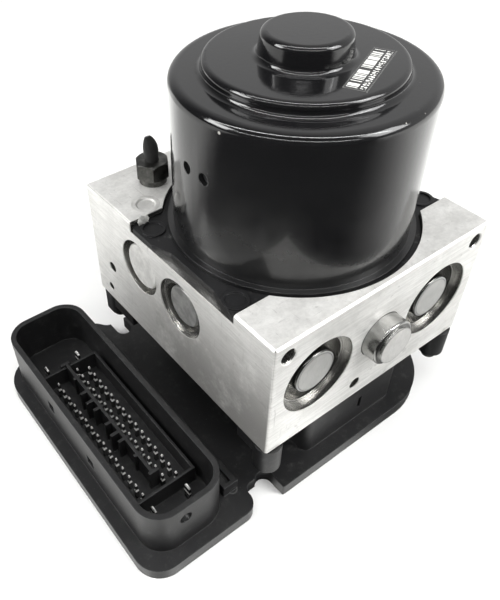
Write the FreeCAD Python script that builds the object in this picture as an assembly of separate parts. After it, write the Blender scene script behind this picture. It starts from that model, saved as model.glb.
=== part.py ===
import FreeCAD, Part
import math
import os
from FreeCAD import Vector

# Abs brake module: machined valve block, pump motor above it, controller with its connector below it.
# Millimetres. Origin on the motor axis at the underside of the controller cover, +Z up, front is -Y.

# Clearances
RUNNING_GAP = 0.03
PRESS_GAP = 0.02
SEAT_GAP = 0.15
REST_GAP = 0.3

# Valve block
BLOCK_HALF_WIDTH = 46.5
BLOCK_FRONT = -45.0
BLOCK_BACK = 56.2
BLOCK_HEIGHT = 49.4
BLOCK_EDGE = 0.7

# Controller housing heights
COVER_THICKNESS = 1.6
FLANGE_HEIGHT = 5.2
STANDOFF = 28.6

# Motor seat in the block, sized from the can that stands in it
CAN_RADIUS = 39.0
SEAT_ROOM = 4.0
SEAT_RADIUS = CAN_RADIUS + SEAT_ROOM
BAND_HALF_DEPTH = 27.3
SEAT_DEPTH = 4.0
BEARING_SINK = 4.0
CHAMBER_RADIUS = 14.0
CHAMBER_DEPTH = 31.0

# Motor end plate
PLATE_THICKNESS = 2.0
PLATE_SIDE_INSET = 0.5
PLATE_CORNER = 1.5
PLATE_RELIEF_DEPTH = 2.6
PLATE_RELIEF_FRONT = -14.5
PLATE_RELIEF_BACK = 8.0
PLATE_RELIEF_FRONT_SLOPE = 11.5
PLATE_RELIEF_BACK_SLOPE = 7.0
PLATE_BORE_LEDGE = 2.0
EAR_RING_RADIUS = 4.3
EAR_RING_HEIGHT = 0.5
EAR_RING_WALL = 1.0
EAR_RING_SIDE_INSET = 5.5
EAR_RING_BAND_INSET = 5.8
EAR_RING_X = BLOCK_HALF_WIDTH - EAR_RING_SIDE_INSET
EAR_RING_Y = BAND_HALF_DEPTH - EAR_RING_BAND_INSET

# Motor can
CAN_WALL = 1.8
CAN_HEIGHT = 51.2
CAN_SHOULDER_FILLET = 2.9
LIP_WIDTH = 2.1
LIP_RADIUS = CAN_RADIUS + LIP_WIDTH
LIP_THICKNESS = 1.5
PLATEAU_RADIUS = 29.4
PLATEAU_RISE = 3.9
PLATEAU_FILLET = 1.7
BOSS_RADIUS = 13.3
BOSS_TAPER = 0.5
BOSS_RISE = 7.2
BOSS_FILLET = 1.9
VENT_RADIUS = 1.9
VENT_HEIGHT = 31.5
VENT_ANGLES = (174.0, 185.2)

# Motor inside
MAGNET_THICKNESS = 5.0
MAGNET_COUNT = 4
MAGNET_ARC = 70.0
MAGNET_HEIGHT = 34.0
MAGNET_START = 12.4
AIR_GAP = 0.8
TOOTH_COUNT = 12
TOOTH_NECK = 3.4
TOOTH_SHOE = 2.4
SLOT_MOUTH = 2.6
CORE_HUB_RADIUS = 12.0
CORE_HEIGHT = 28.0
WINDING_OVERHANG = 4.5
SHAFT_RADIUS = 4.0
SHAFT_CHAMFER = 0.5
SHAFT_END_GAP = 2.0
COMMUTATOR_RADIUS = 9.0
COMMUTATOR_HEIGHT = 8.0
COMMUTATOR_BARS = 12
COMMUTATOR_SLOT = 0.6
BRUSH_WIDTH = 5.0
BRUSH_HEIGHT = 5.0
BRUSH_LENGTH = 11.0
HOLDER_WALL = 1.2
HOLDER_GAP = 3.0
BRUSH_PLATE_BORE_GAP = 1.0
BRUSH_PLATE_THICKNESS = 2.0
CONTACT_WIDTH = 2.4
CONTACT_RISE = 3.0
CONTACT_THICKNESS = 0.8
CONTACT_SPACING = 3.6
CONTACT_Y = 20.0
CONTACT_BORE_RADIUS = 3.6

# Bearings and eccentric
UPPER_BEARING_HEIGHT = 6.0
UPPER_BEARING_GAP = 0.2
RACE_WALL_SHARE = 0.28
RACE_GROOVE_SHARE = 0.12
LOWER_BEARING_RADIUS = 8.0
LOWER_BEARING_HEIGHT = 5.0
ECCENTRIC_OFFSET = 1.0
ECCENTRIC_RADIUS = 6.0
ECCENTRIC_HEIGHT = 10.0
RING_RADIUS = 9.5

# Pumps, one to each side along X
PUMP_DEPTH = 18.9
PISTON_RADIUS = 3.2
PISTON_HEAD_RADIUS = 4.4
PISTON_HEAD_LENGTH = 2.0
LINER_RADIUS = 6.0
LINER_SET_BACK = 1.4
LINER_PLUG_GAP = 4.5
PUMP_SPRING_WIRE = 0.5
PUMP_SPRING_TURNS = 4
PUMP_SPRING_LENGTH = 8.1
PUMP_PLUG_RADIUS = 7.5
PUMP_PLUG_LENGTH = 6.0
PUMP_PLUG_SET_BACK = 1.6
PUMP_RECESS_RADIUS = 11.0
PUMP_RECESS_DEPTH = 1.0
PUMP_GROOVE_RADIUS = 8.9
PUMP_GROOVE_DEPTH = 4.0

# Attenuator chambers beside the pumps
CHAMBER_PLUG_Y = 23.7
CHAMBER_PLUG_DEPTH = 17.5
CHAMBER_PLUG_RADIUS = 8.5
CHAMBER_PLUG_LENGTH = 4.0
CHAMBER_PLUG_SET_BACK = 1.1
CHAMBER_RECESS_RADIUS = 10.5
CHAMBER_RECESS_DEPTH = 3.2
CHAMBER_BORE_RADIUS = 6.5
CHAMBER_BORE_DEPTH = 15.0

# Low pressure accumulators in the front face
ACCUMULATOR_INSET = 19.6
ACCUMULATOR_X = BLOCK_HALF_WIDTH - ACCUMULATOR_INSET
ACCUMULATOR_DEPTH = 23.7
ACCUMULATOR_BORE_RADIUS = 9.0
ACCUMULATOR_BORE_DEPTH = 32.0
ACCUMULATOR_RECESS_RADIUS = 14.4
ACCUMULATOR_RECESS_DEPTH = 3.0
ACCUMULATOR_GROOVE_RADIUS = 12.2
ACCUMULATOR_GROOVE_DEPTH = 8.0
CAP_RADIUS = 8.1
CAP_SET_BACK = 1.5
CAP_WALL = 1.2
CAP_ROLL = 0.9
CAP_SEAT_LENGTH = 3.0
ACCUMULATOR_PISTON_LENGTH = 8.0
ACCUMULATOR_PISTON_WALL = 1.6
ACCUMULATOR_TRAVEL = 6.0
ACCUMULATOR_SPRING_WIRE = 1.0
ACCUMULATOR_SPRING_TURNS = 4

# Damper cap in the middle of the front face
DAMPER_DEPTH = 23.0
DAMPER_CAP_RADIUS = 8.5
DAMPER_CAP_PROUD = 6.6
DAMPER_CAP_INSET = 14.0
DAMPER_BORE_DEPTH = 22.0
DAMPER_END_RADIUS = 6.8

# Threaded and small holes of the block
FRONT_HOLE_INSET = 5.5
FRONT_HOLE_X = BLOCK_HALF_WIDTH - FRONT_HOLE_INSET
FRONT_HOLE_DEPTH = 5.7
FRONT_HOLE_RADIUS = 2.5
FRONT_HOLE_LENGTH = 12.0
FRONT_HOLE_SINK = 0.6
PILOT_X = -7.7
PILOT_Z = 35.9
PILOT_RADIUS = 2.3
PILOT_LENGTH = 6.0
SIDE_HOLES = ((43.7, 47.2, 2.2), (46.9, 35.2, 1.7))
SIDE_HOLE_LENGTH = 5.0

# Hydraulic ports
PORT_RADIUS = 4.5
PORT_SEAT_WALL = 2.9
PORT_CIRCLE_RADIUS = SEAT_RADIUS + PORT_SEAT_WALL + PORT_RADIUS
PORT_ANGLES = (-31.4, 31.4)
PORT_LENGTH = 14.0
BACK_PORT_DEPTH = 22.0
WHEEL_PORT_X = 34.0
MASTER_PORT_X = 12.0
MASTER_PORT_RADIUS = 5.1
MASTER_PORT_LENGTH = 13.0
SEAL_PLUG_RADIUS = 4.9
SEAL_PLUG_RIM = 1.4
SEAL_PLUG_DISH = 0.5
SEAL_PLUG_SEAT_WALL = 0.95
SEAL_PLUG_ANGLE = -48.15
SEAL_PLUG_LENGTH = 6.0

# Tube nut and the pinched pipe stub left in it
NUT_FLATS = 11.0
NUT_HEX_HEIGHT = 6.3
NUT_CHAMFER = 0.8
NUT_COLLAR_HEIGHT = 2.2
NUT_COLLAR_RADIUS = 4.9
NUT_THREAD_LENGTH = 9.0
NUT_BORE_RADIUS = 2.5
PIPE_RADIUS = 2.35
PIPE_WALL = 0.7
PIPE_RISE = 8.2
PIPE_PINCH = 0.9
PIPE_STRAIGHT = 1.0
PIPE_LEAN = 1.0
PIPE_WAIST_LIFT = 0.55
PIPE_WAIST_SHARES = (1.15, 0.75)
PIPE_TIP_SHARE = 0.5

# Solenoid valves and their coils, two columns by four rows
VALVE_X = 10.0
VALVE_ROWS = (-31.0, -11.0, 9.0, 29.0)
VALVE_RADIUS = 5.0
VALVE_INSERT = 11.0
VALVE_BODY = 4.0
VALVE_NECK = 0.8
VALVE_STEP = 1.0
VALVE_TIP = 2.0
DOME_ROUND = 1.4
VALVE_COLLAR_RADIUS = 5.8
VALVE_COLLAR_HEIGHT = 1.5
DOME_RADIUS = 3.4
DOME_LENGTH = 16.0
COIL_RADIUS = 8.8
COIL_HEIGHT = 17.0
COIL_ROOM = 3.0
COIL_FLANGE = 1.4
COIL_NECK_RADIUS = 7.6

# Controller housing
HOUSING_LEFT = -93.8
HOUSING_OVERHANG = 0.5
HOUSING_RIGHT = BLOCK_HALF_WIDTH + HOUSING_OVERHANG
HOUSING_FRONT = -47.8
HOUSING_BACK = 61.2
HOUSING_BACK_STEP = 56.0
HOUSING_STEP_LEFT = -50.4
HOUSING_STEP_RIGHT = -46.6
HOUSING_CORNERS = (9.5, 14.0, 4.0)
HOUSING_ROUND_OFF = 28.0
HOUSING_WALL = 2.0
NOTCH_LEFT = -49.8
NOTCH_RIGHT = -40.8
NOTCH_BACK = -39.3
NOTCH_CORNERS = (5.2, 3.2, 2.8)
COIL_BOX_LEFT = -24.0
COIL_BOX_RIGHT = 22.0
COIL_BOX_FRONT = -42.0
COIL_BOX_BACK = 45.0
COIL_BOX_CORNER = 3.5
COIL_BOX_SLOT_X = 2.6
COIL_BOX_SLOT_Z = 14.1
COIL_BOX_SLOT_WIDTH = 1.6
COIL_BOX_SLOT_HEIGHT = 6.0
LEDGE_LEFT = -57.5
LEDGE_RIGHT = -51.5
LEDGE_HEIGHT = 10.0
LEDGE_END_INSET = 5.0
LEDGE_GROOVE = 1.6
LEDGE_GROOVE_INSET = 1.5
POST_INSET = 4.4
POST_X = BLOCK_HALF_WIDTH - POST_INSET
POST_FRONT = -41.3
POST_RADIUS = 4.8
POST_BOTTOM = 17.0
LUG_SCREW_Y = 50.6
LUG_FRONT = 45.2
LUG_BACK = 55.9
LUG_OUTSIDE = BLOCK_HALF_WIDTH + 0.1
LUG_WIDTH = 9.6
LUG_CORNER = 3.8
LUG_BOTTOM = 19.4
ARM_THICKNESS = 5.0
ARM_WIDTH = 8.0
SLEEVE_RADIUS = 3.2
SLEEVE_WALL = 0.8
SLEEVE_PROUD = 0.4
SCREW_RADIUS = 2.0
SCREW_HEAD_RADIUS = 2.8
SCREW_HEAD_HEIGHT = 3.2
SCREW_BITE = 12.0
SCREW_SOCKET_FLATS = 3.0
ACCESS_RADIUS = 3.2

# Connector
SHROUD_LEFT = -89.2
SHROUD_RIGHT = -58.6
SHROUD_FRONT = -43.0
SHROUD_BACK = 60.0
SHROUD_CORNER = 9.5
SHROUD_WALL = 2.0
SHROUD_TOP = 26.0
SHROUD_FLOOR = 8.0
WINDOW_PLACES = ((23.3, 16.4), (-4.5, 14.8))
WINDOW_WIDTH = 4.0
WINDOW_HEIGHT = 4.5
KEYHOLE_X = -76.6
KEYHOLE_Z = 20.0
KEYHOLE_RADIUS = 2.2
WELL_WALL = 1.0
WELL_TOP = 15.8
WELL_LEFT = -85.8
WELL_RIGHT = -62.2
WELL_FRONT = -28.2
WELL_BACK = 38.0
PIN_PITCH = 4.13
PIN_SIDE = 0.8
PIN_TOP = 15.6
PIN_POINT = 1.0
PIN_COUNT = 15
PIN_ROWS = ((-68.2, 3.5), (-72.3, 5.6), (-81.6, 3.5))
PIN_FOOT_SIDE = 1.2
PIN_FOOT_TOP = 12.0
PIN_FOOT_TAPER = 0.5
BLADE_X = (-68.2, -81.7)
BLADE_Y = (42.0, -32.0)
BLADE_WIDTH = 2.8
BLADE_THICKNESS = 0.8
KEY_RIB_X = -75.0
KEY_RIB_WIDTH = 1.2
KEY_RIB_FRONT = -21.4
KEY_RIB_BACK = 38.3
KEY_RIB_CROSSES = ((38.3, 2.2, 1.5), (29.5, 1.4, 1.2), (21.6, 3.0, 0.9), (16.6, 3.4, 0.6), (12.3, 2.8, 1.2),
                   (4.4, 2.8, 0.9), (-0.8, 3.6, 0.6), (-4.6, 2.8, 1.4), (-12.7, 1.6, 1.4), (-21.4, 1.4, 2.6))
KEY_RIB_TOP = 17.0

# Circuit board and seals
BOARD_THICKNESS = 1.6
BOARD_GAP = 0.2
BOARD_MARGIN = 1.0
BOARD_ROOM = 2.4
SEAL_WIDTH = 1.2
SEAL_INSET = 0.4
SEAL_HEIGHT = 1.0
COVER_RIB = 0.6
COVER_RIB_WIDTH = 1.2

# Worked out heights
BLOCK_BOTTOM = STANDOFF
BLOCK_TOP = STANDOFF + BLOCK_HEIGHT
SEAT_FLOOR = BLOCK_TOP - SEAT_DEPTH
PLATE_TOP = SEAT_FLOOR + PLATE_THICKNESS
CAN_SHOULDER = PLATE_TOP + CAN_HEIGHT
CAN_PLATEAU = CAN_SHOULDER + PLATEAU_RISE
CAN_TOP = CAN_PLATEAU + BOSS_RISE
CHAMBER_FLOOR = BLOCK_TOP - CHAMBER_DEPTH
PUMP_Z = BLOCK_TOP - PUMP_DEPTH
CHAMBER_PLUG_Z = BLOCK_TOP - CHAMBER_PLUG_DEPTH
ACCUMULATOR_Z = BLOCK_TOP - ACCUMULATOR_DEPTH
DAMPER_Z = BLOCK_TOP - DAMPER_DEPTH
FRONT_HOLE_Z = BLOCK_TOP - FRONT_HOLE_DEPTH
MAGNET_BOTTOM = PLATE_TOP + MAGNET_START
CORE_BOTTOM = MAGNET_BOTTOM + (MAGNET_HEIGHT - CORE_HEIGHT) / 2
CORE_RADIUS = CAN_RADIUS - CAN_WALL - MAGNET_THICKNESS - AIR_GAP
BRUSH_PLATE_TOP = PLATE_TOP + BRUSH_PLATE_THICKNESS
BRUSH_BOTTOM = BRUSH_PLATE_TOP + HOLDER_WALL
SWEPT_RADIUS = RING_RADIUS + ECCENTRIC_OFFSET
PISTON_TIP = SWEPT_RADIUS + REST_GAP
PUMP_PLUG_FACE = BLOCK_HALF_WIDTH - PUMP_PLUG_SET_BACK
PUMP_PLUG_INNER = PUMP_PLUG_FACE - PUMP_PLUG_LENGTH
PISTON_END = PUMP_PLUG_INNER - PUMP_SPRING_LENGTH
LINER_START = CHAMBER_RADIUS + LINER_SET_BACK
LINER_END = PUMP_PLUG_INNER - LINER_PLUG_GAP
CAP_FACE = BLOCK_FRONT + CAP_SET_BACK
CAP_INNER = BLOCK_FRONT + ACCUMULATOR_GROOVE_DEPTH
BACK_PORT_Z = BLOCK_TOP - BACK_PORT_DEPTH
BEARING_BOTTOM = CHAMBER_FLOOR - BEARING_SINK
ACCUMULATOR_BORE_END = BLOCK_FRONT + ACCUMULATOR_BORE_DEPTH
BOARD_BOTTOM = COVER_THICKNESS + BOARD_GAP
BOARD_TOP = BOARD_BOTTOM + BOARD_THICKNESS
COIL_TOP = STANDOFF - COIL_ROOM
COIL_BOTTOM = COIL_TOP - COIL_HEIGHT

UP = Vector(0, 0, 1)
AXES = {"+x": Vector(1, 0, 0), "-x": Vector(-1, 0, 0), "+y": Vector(0, 1, 0), "-y": Vector(0, -1, 0),
        "+z": Vector(0, 0, 1), "-z": Vector(0, 0, -1)}


def rod(radius, length, base, axis="+z"):
    return Part.makeCylinder(radius, length, Vector(*base), AXES[axis])


def tube(outer, inner, length, base, axis="+z"):
    return rod(outer, length, base, axis).cut(rod(inner, length, base, axis))


def block_between(low, high):
    size = [b - a for a, b in zip(low, high)]
    return Part.makeBox(size[0], size[1], size[2], Vector(*low))


def edges_along(shape, axis):
    found = []
    for edge in shape.Edges:
        if len(edge.Vertexes) != 2:
            continue
        run = edge.Vertexes[1].Point.sub(edge.Vertexes[0].Point)
        if run.Length > 1e-6 and abs(abs(run.dot(AXES[axis])) - run.Length) < 1e-6:
            found.append(edge)
    return found


def rounded_block(low, high, corner):
    plain = block_between(low, high)
    return plain.makeFillet(corner, edges_along(plain, "+z"))


def corner_arc(before, here, after, radius):
    back = before.sub(here).normalize()
    ahead = after.sub(here).normalize()
    half = back.getAngle(ahead) / 2
    reach = radius / math.tan(half)
    middle = back.add(ahead).normalize().multiply(radius / math.sin(half) - radius)
    start = here.add(Vector(back).multiply(reach))
    end = here.add(Vector(ahead).multiply(reach))
    return start, here.add(middle), end


def outline_face(corners, lying=False):
    points = [Vector(u, v, 0) if lying else Vector(u, 0, v) for u, v, radius in corners]
    runs = []
    edges = []
    for index, (u, v, radius) in enumerate(corners):
        before = points[index - 1]
        after = points[(index + 1) % len(points)]
        if radius > 0:
            start, middle, end = corner_arc(before, points[index], after, radius)
            edges.append(Part.Arc(start, middle, end).toShape())
            runs.append((start, end))
        else:
            runs.append((points[index], points[index]))
    for index, (start, end) in enumerate(runs):
        following = runs[(index + 1) % len(runs)][0]
        if end.distanceToPoint(following) > 1e-6:
            edges.append(Part.makeLine(end, following))
    return Part.Face(Part.Wire(Part.__sortEdges__(edges)))


def flat_plate(corners, low, high, inset=0):
    face = outline_face(corners, True)
    if inset > 0:
        face = face.makeOffset2D(-inset)
    face.translate(Vector(0, 0, low))
    return face.extrude(Vector(0, 0, high - low))


def turned(corners, base=(0, 0, 0), axis="+z"):
    solid = outline_face(corners).revolve(Vector(0, 0, 0), UP, 360)
    solid.Placement = FreeCAD.Placement(Vector(*base), FreeCAD.Rotation(UP, AXES[axis]))
    return solid


def hexagon(flats, height, base):
    reach = flats / 2 / math.cos(math.pi / 6)
    turns = [math.pi / 3 * k for k in range(6)]
    corners = [Vector(reach * math.cos(turn), reach * math.sin(turn), 0) for turn in turns]
    face = Part.Face(Part.makePolygon(corners + corners[:1]))
    face.translate(Vector(*base))
    return face.extrude(Vector(0, 0, height))


def coil_spring(radius, wire, turns, length, base, axis):
    rise = length - 2 * wire
    path = Part.Wire(Part.makeHelix(rise / turns, rise, radius).Edges)
    section = Part.Wire(Part.makeCircle(wire, Vector(radius, 0, 0), Vector(0, 1, 0)))
    solid = Part.Wire(path).makePipeShell([section], True, True)
    solid.translate(Vector(0, 0, wire))
    standing = FreeCAD.Placement(Vector(*base), FreeCAD.Rotation(UP, AXES[axis]))
    solid.Placement = standing.multiply(solid.Placement)
    return solid


def fused(shapes):
    whole = shapes[0]
    for shape in shapes[1:]:
        whole = whole.fuse(shape)
    return whole.removeSplitter()


def around(shape, angle):
    turned_copy = shape.copy()
    turned_copy.rotate(Vector(0, 0, 0), UP, angle)
    return turned_copy


def mirrored(shape):
    return shape.mirror(Vector(0, 0, 0), Vector(1, 0, 0))


# Valve block

def motor_seat():
    over = 1.0
    band = block_between((-BLOCK_HALF_WIDTH - over, -BAND_HALF_DEPTH, SEAT_FLOOR),
                         (BLOCK_HALF_WIDTH + over, BAND_HALF_DEPTH, BLOCK_TOP + over))
    round_seat = rod(SEAT_RADIUS, SEAT_DEPTH + over, (0, 0, SEAT_FLOOR))
    chamber = rod(CHAMBER_RADIUS, CHAMBER_DEPTH, (0, 0, CHAMBER_FLOOR))
    bearing = rod(LOWER_BEARING_RADIUS + PRESS_GAP, LOWER_BEARING_HEIGHT, (0, 0, BEARING_BOTTOM))
    contacts = rod(CONTACT_BORE_RADIUS, BLOCK_HEIGHT, (0, CONTACT_Y, BLOCK_BOTTOM))
    return [band, round_seat, chamber, bearing, contacts]


def side_bore(side, radius, depth, y, z):
    return rod(radius, depth, (side * (BLOCK_HALF_WIDTH - depth), y, z), "+x" if side > 0 else "-x")


def pump_bores():
    bores = []
    for side in (-1, 1):
        bores.append(side_bore(side, LINER_RADIUS + PRESS_GAP, BLOCK_HALF_WIDTH, 0, PUMP_Z))
        bores.append(side_bore(side, PUMP_PLUG_RADIUS + PRESS_GAP, BLOCK_HALF_WIDTH - LINER_END, 0, PUMP_Z))
        bores.append(side_bore(side, PUMP_GROOVE_RADIUS, PUMP_GROOVE_DEPTH, 0, PUMP_Z))
        bores.append(side_bore(side, PUMP_RECESS_RADIUS, PUMP_RECESS_DEPTH, 0, PUMP_Z))
        seat_depth = CHAMBER_PLUG_LENGTH + CHAMBER_PLUG_SET_BACK
        chamber = (CHAMBER_PLUG_Y, CHAMBER_PLUG_Z)
        bores.append(side_bore(side, CHAMBER_BORE_RADIUS, CHAMBER_BORE_DEPTH, *chamber))
        bores.append(side_bore(side, CHAMBER_PLUG_RADIUS + PRESS_GAP, seat_depth, *chamber))
        bores.append(side_bore(side, CHAMBER_RECESS_RADIUS, CHAMBER_RECESS_DEPTH, *chamber))
    return bores


def front_bores():
    bores = []
    for side in (-1, 1):
        base = (side * ACCUMULATOR_X, BLOCK_FRONT, ACCUMULATOR_Z)
        bores.append(rod(ACCUMULATOR_RECESS_RADIUS, ACCUMULATOR_RECESS_DEPTH, base, "+y"))
        bores.append(rod(ACCUMULATOR_GROOVE_RADIUS, ACCUMULATOR_GROOVE_DEPTH, base, "+y"))
        bores.append(rod(ACCUMULATOR_BORE_RADIUS, ACCUMULATOR_BORE_DEPTH, base, "+y"))
        hole = (side * FRONT_HOLE_X, BLOCK_FRONT, FRONT_HOLE_Z)
        bores.append(rod(FRONT_HOLE_RADIUS, FRONT_HOLE_LENGTH, hole, "+y"))
        bores.append(Part.makeCone(FRONT_HOLE_RADIUS + FRONT_HOLE_SINK, FRONT_HOLE_RADIUS, FRONT_HOLE_SINK,
                                   Vector(*hole), AXES["+y"]))
    bores.append(rod(DAMPER_CAP_RADIUS + PRESS_GAP, DAMPER_CAP_INSET, (0, BLOCK_FRONT, DAMPER_Z), "+y"))
    bores.append(rod(DAMPER_END_RADIUS, DAMPER_BORE_DEPTH, (0, BLOCK_FRONT, DAMPER_Z), "+y"))
    bores.append(rod(PILOT_RADIUS, PILOT_LENGTH, (PILOT_X, BLOCK_FRONT, PILOT_Z), "+y"))
    for y, z, radius in SIDE_HOLES:
        bores.append(rod(radius, SIDE_HOLE_LENGTH, (-BLOCK_HALF_WIDTH, y, z), "+x"))
    return bores


def on_circle(radius, angle):
    turn = math.radians(angle)
    return radius * math.sin(turn), radius * math.cos(turn)


def port_place(angle):
    return on_circle(PORT_CIRCLE_RADIUS, angle)


def seal_plug_place():
    return on_circle(SEAT_RADIUS + SEAL_PLUG_SEAT_WALL + SEAL_PLUG_RADIUS, SEAL_PLUG_ANGLE)


def port_bores():
    bores = []
    for angle in PORT_ANGLES:
        x, y = port_place(angle)
        bores.append(rod(PORT_RADIUS, PORT_LENGTH, (x, y, BLOCK_TOP), "-z"))
    for side in (-1, 1):
        bores.append(rod(PORT_RADIUS, PORT_LENGTH, (side * WHEEL_PORT_X, BLOCK_BACK, BACK_PORT_Z), "-y"))
        place = (side * MASTER_PORT_X, BLOCK_BACK, BACK_PORT_Z)
        bores.append(rod(MASTER_PORT_RADIUS, MASTER_PORT_LENGTH, place, "-y"))
    x, y = seal_plug_place()
    bores.append(rod(SEAL_PLUG_RADIUS + PRESS_GAP, SEAL_PLUG_LENGTH, (x, y, BLOCK_TOP), "-z"))
    return bores


def valve_bores():
    bores = []
    for x in (-VALVE_X, VALVE_X):
        for y in VALVE_ROWS:
            bores.append(rod(VALVE_RADIUS + PRESS_GAP, VALVE_INSERT, (x, y, BLOCK_BOTTOM)))
    for x, y, bottom in screw_places():
        bores.append(rod(SCREW_RADIUS + PRESS_GAP, SCREW_BITE + 1, (x, y, BLOCK_BOTTOM)))
    return bores


def valve_block():
    plain = block_between((-BLOCK_HALF_WIDTH, BLOCK_FRONT, BLOCK_BOTTOM),
                          (BLOCK_HALF_WIDTH, BLOCK_BACK, BLOCK_TOP))
    body = plain.makeChamfer(BLOCK_EDGE, plain.Edges)
    return body.cut(motor_seat() + pump_bores() + front_bores() + port_bores() + valve_bores())


# Pump motor

def motor_end_plate():
    half_width = BLOCK_HALF_WIDTH - PLATE_SIDE_INSET
    half_depth = BAND_HALF_DEPTH - SEAT_GAP
    ears = rounded_block((-half_width, -half_depth, SEAT_FLOOR), (half_width, half_depth, PLATE_TOP),
                         PLATE_CORNER)
    inner = half_width - PLATE_RELIEF_DEPTH
    beyond = half_width + PLATE_RELIEF_DEPTH
    front = PLATE_RELIEF_FRONT
    back = PLATE_RELIEF_BACK
    relief = [(inner, front, PLATE_CORNER), (beyond, front - 2 * PLATE_RELIEF_FRONT_SLOPE, 0),
              (beyond, back + 2 * PLATE_RELIEF_BACK_SLOPE, 0), (inner, back, PLATE_CORNER)]
    cut = flat_plate(relief, SEAT_FLOOR - 1, PLATE_TOP + 1)
    ears = ears.cut([cut, mirrored(cut)])
    plate = ears.fuse(rod(SEAT_RADIUS - SEAT_GAP, PLATE_THICKNESS, (0, 0, SEAT_FLOOR)))
    for x, y in ((-1, -1), (-1, 1), (1, -1), (1, 1)):
        base = (x * EAR_RING_X, y * EAR_RING_Y, PLATE_TOP)
        plate = plate.fuse(tube(EAR_RING_RADIUS, EAR_RING_RADIUS - EAR_RING_WALL, EAR_RING_HEIGHT, base))
    plate = plate.cut(rod(LIP_RADIUS + SEAT_GAP, PLATE_THICKNESS, (0, 0, PLATE_TOP)))
    plate = plate.cut(rod(CHAMBER_RADIUS - PLATE_BORE_LEDGE, PLATE_THICKNESS, (0, 0, SEAT_FLOOR)))
    return plate.cut(rod(CONTACT_BORE_RADIUS, PLATE_THICKNESS, (0, CONTACT_Y, SEAT_FLOOR))).removeSplitter()


def can_outline(inset, bottom):
    outer = CAN_RADIUS - inset
    fillet = CAN_SHOULDER_FILLET - inset
    plateau = PLATEAU_RADIUS - inset
    boss_foot = BOSS_RADIUS + BOSS_TAPER - inset
    boss_top = BOSS_RADIUS - BOSS_TAPER - inset
    convex = PLATEAU_FILLET - inset * 0.5
    concave = PLATEAU_FILLET + inset * 0.1
    return [(0, bottom, 0), (outer, bottom, 0), (outer, CAN_SHOULDER - inset, fillet),
            (plateau, CAN_SHOULDER - inset, concave), (plateau, CAN_PLATEAU - inset, convex),
            (boss_foot, CAN_PLATEAU - inset, concave), (boss_top, CAN_TOP - inset, BOSS_FILLET - inset * 0.5),
            (0, CAN_TOP - inset, 0)]


def motor_can():
    shell = turned(can_outline(0, PLATE_TOP)).cut(turned(can_outline(CAN_WALL, PLATE_TOP - 1)))
    lip = tube(LIP_RADIUS, CAN_RADIUS - CAN_WALL, LIP_THICKNESS, (0, 0, PLATE_TOP))
    can = shell.fuse(lip).removeSplitter()
    for angle in VENT_ANGLES:
        vent = rod(VENT_RADIUS, 2 * CAN_WALL, (CAN_RADIUS - 1.5 * CAN_WALL, 0, PLATE_TOP + VENT_HEIGHT), "+x")
        can = can.cut(around(vent, angle))
    return can


def motor_magnets():
    outer = CAN_RADIUS - CAN_WALL - PRESS_GAP
    ring = tube(outer, outer - MAGNET_THICKNESS, MAGNET_HEIGHT, (0, 0, MAGNET_BOTTOM))
    wedge_reach = 2 * outer
    half = math.radians(MAGNET_ARC / 2)
    corners = [Vector(0, 0, MAGNET_BOTTOM - 1),
               Vector(wedge_reach * math.cos(half), -wedge_reach * math.sin(half), MAGNET_BOTTOM - 1),
               Vector(wedge_reach * math.cos(half), wedge_reach * math.sin(half), MAGNET_BOTTOM - 1)]
    wedge = Part.Face(Part.makePolygon(corners + corners[:1])).extrude(Vector(0, 0, MAGNET_HEIGHT + 2))
    magnet = ring.common(wedge)
    step = 360 / MAGNET_COUNT
    return Part.makeCompound([around(magnet, k * step) for k in range(MAGNET_COUNT)])


def slot_cutters(margin, low, high):
    inner = CORE_HUB_RADIUS + margin
    outer = CORE_RADIUS - TOOTH_SHOE - margin
    half_step = math.pi / TOOTH_COUNT
    near = inner * math.sin(half_step) - TOOTH_NECK / 2 - margin
    far = outer * math.sin(half_step) - TOOTH_NECK / 2 - margin
    corners = [Vector(inner, -near, low), Vector(outer, -far, low),
               Vector(outer, far, low), Vector(inner, near, low)]
    slot = Part.Face(Part.makePolygon(corners + corners[:1])).extrude(Vector(0, 0, high - low))
    return [around(slot, 360 / TOOTH_COUNT * (k + 0.5)) for k in range(TOOTH_COUNT)]


def armature_core():
    core = tube(CORE_RADIUS, SHAFT_RADIUS + PRESS_GAP, CORE_HEIGHT, (0, 0, CORE_BOTTOM))
    mouth = block_between((CORE_RADIUS - 2 * TOOTH_SHOE, -SLOT_MOUTH / 2, CORE_BOTTOM),
                          (CORE_RADIUS + 1, SLOT_MOUTH / 2, CORE_BOTTOM + CORE_HEIGHT))
    mouths = [around(mouth, 360 / TOOTH_COUNT * (k + 0.5)) for k in range(TOOTH_COUNT)]
    return core.cut(slot_cutters(0, CORE_BOTTOM, CORE_BOTTOM + CORE_HEIGHT) + mouths)


def armature_winding():
    low = CORE_BOTTOM - PRESS_GAP
    high = CORE_BOTTOM + CORE_HEIGHT + PRESS_GAP
    inner = CORE_HUB_RADIUS + 0.5
    outer = CORE_RADIUS - TOOTH_SHOE - 0.5
    rounding = 1.5
    pieces = []
    for bottom in (low - WINDING_OVERHANG, high):
        top = bottom + WINDING_OVERHANG
        corners = [(inner, bottom, rounding), (outer, bottom, rounding),
                   (outer, top, rounding), (inner, top, rounding)]
        pieces.append(turned(corners))
    bars = slot_cutters(0.3, low - WINDING_OVERHANG / 2, high + WINDING_OVERHANG / 2)
    return fused(pieces + bars)


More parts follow.
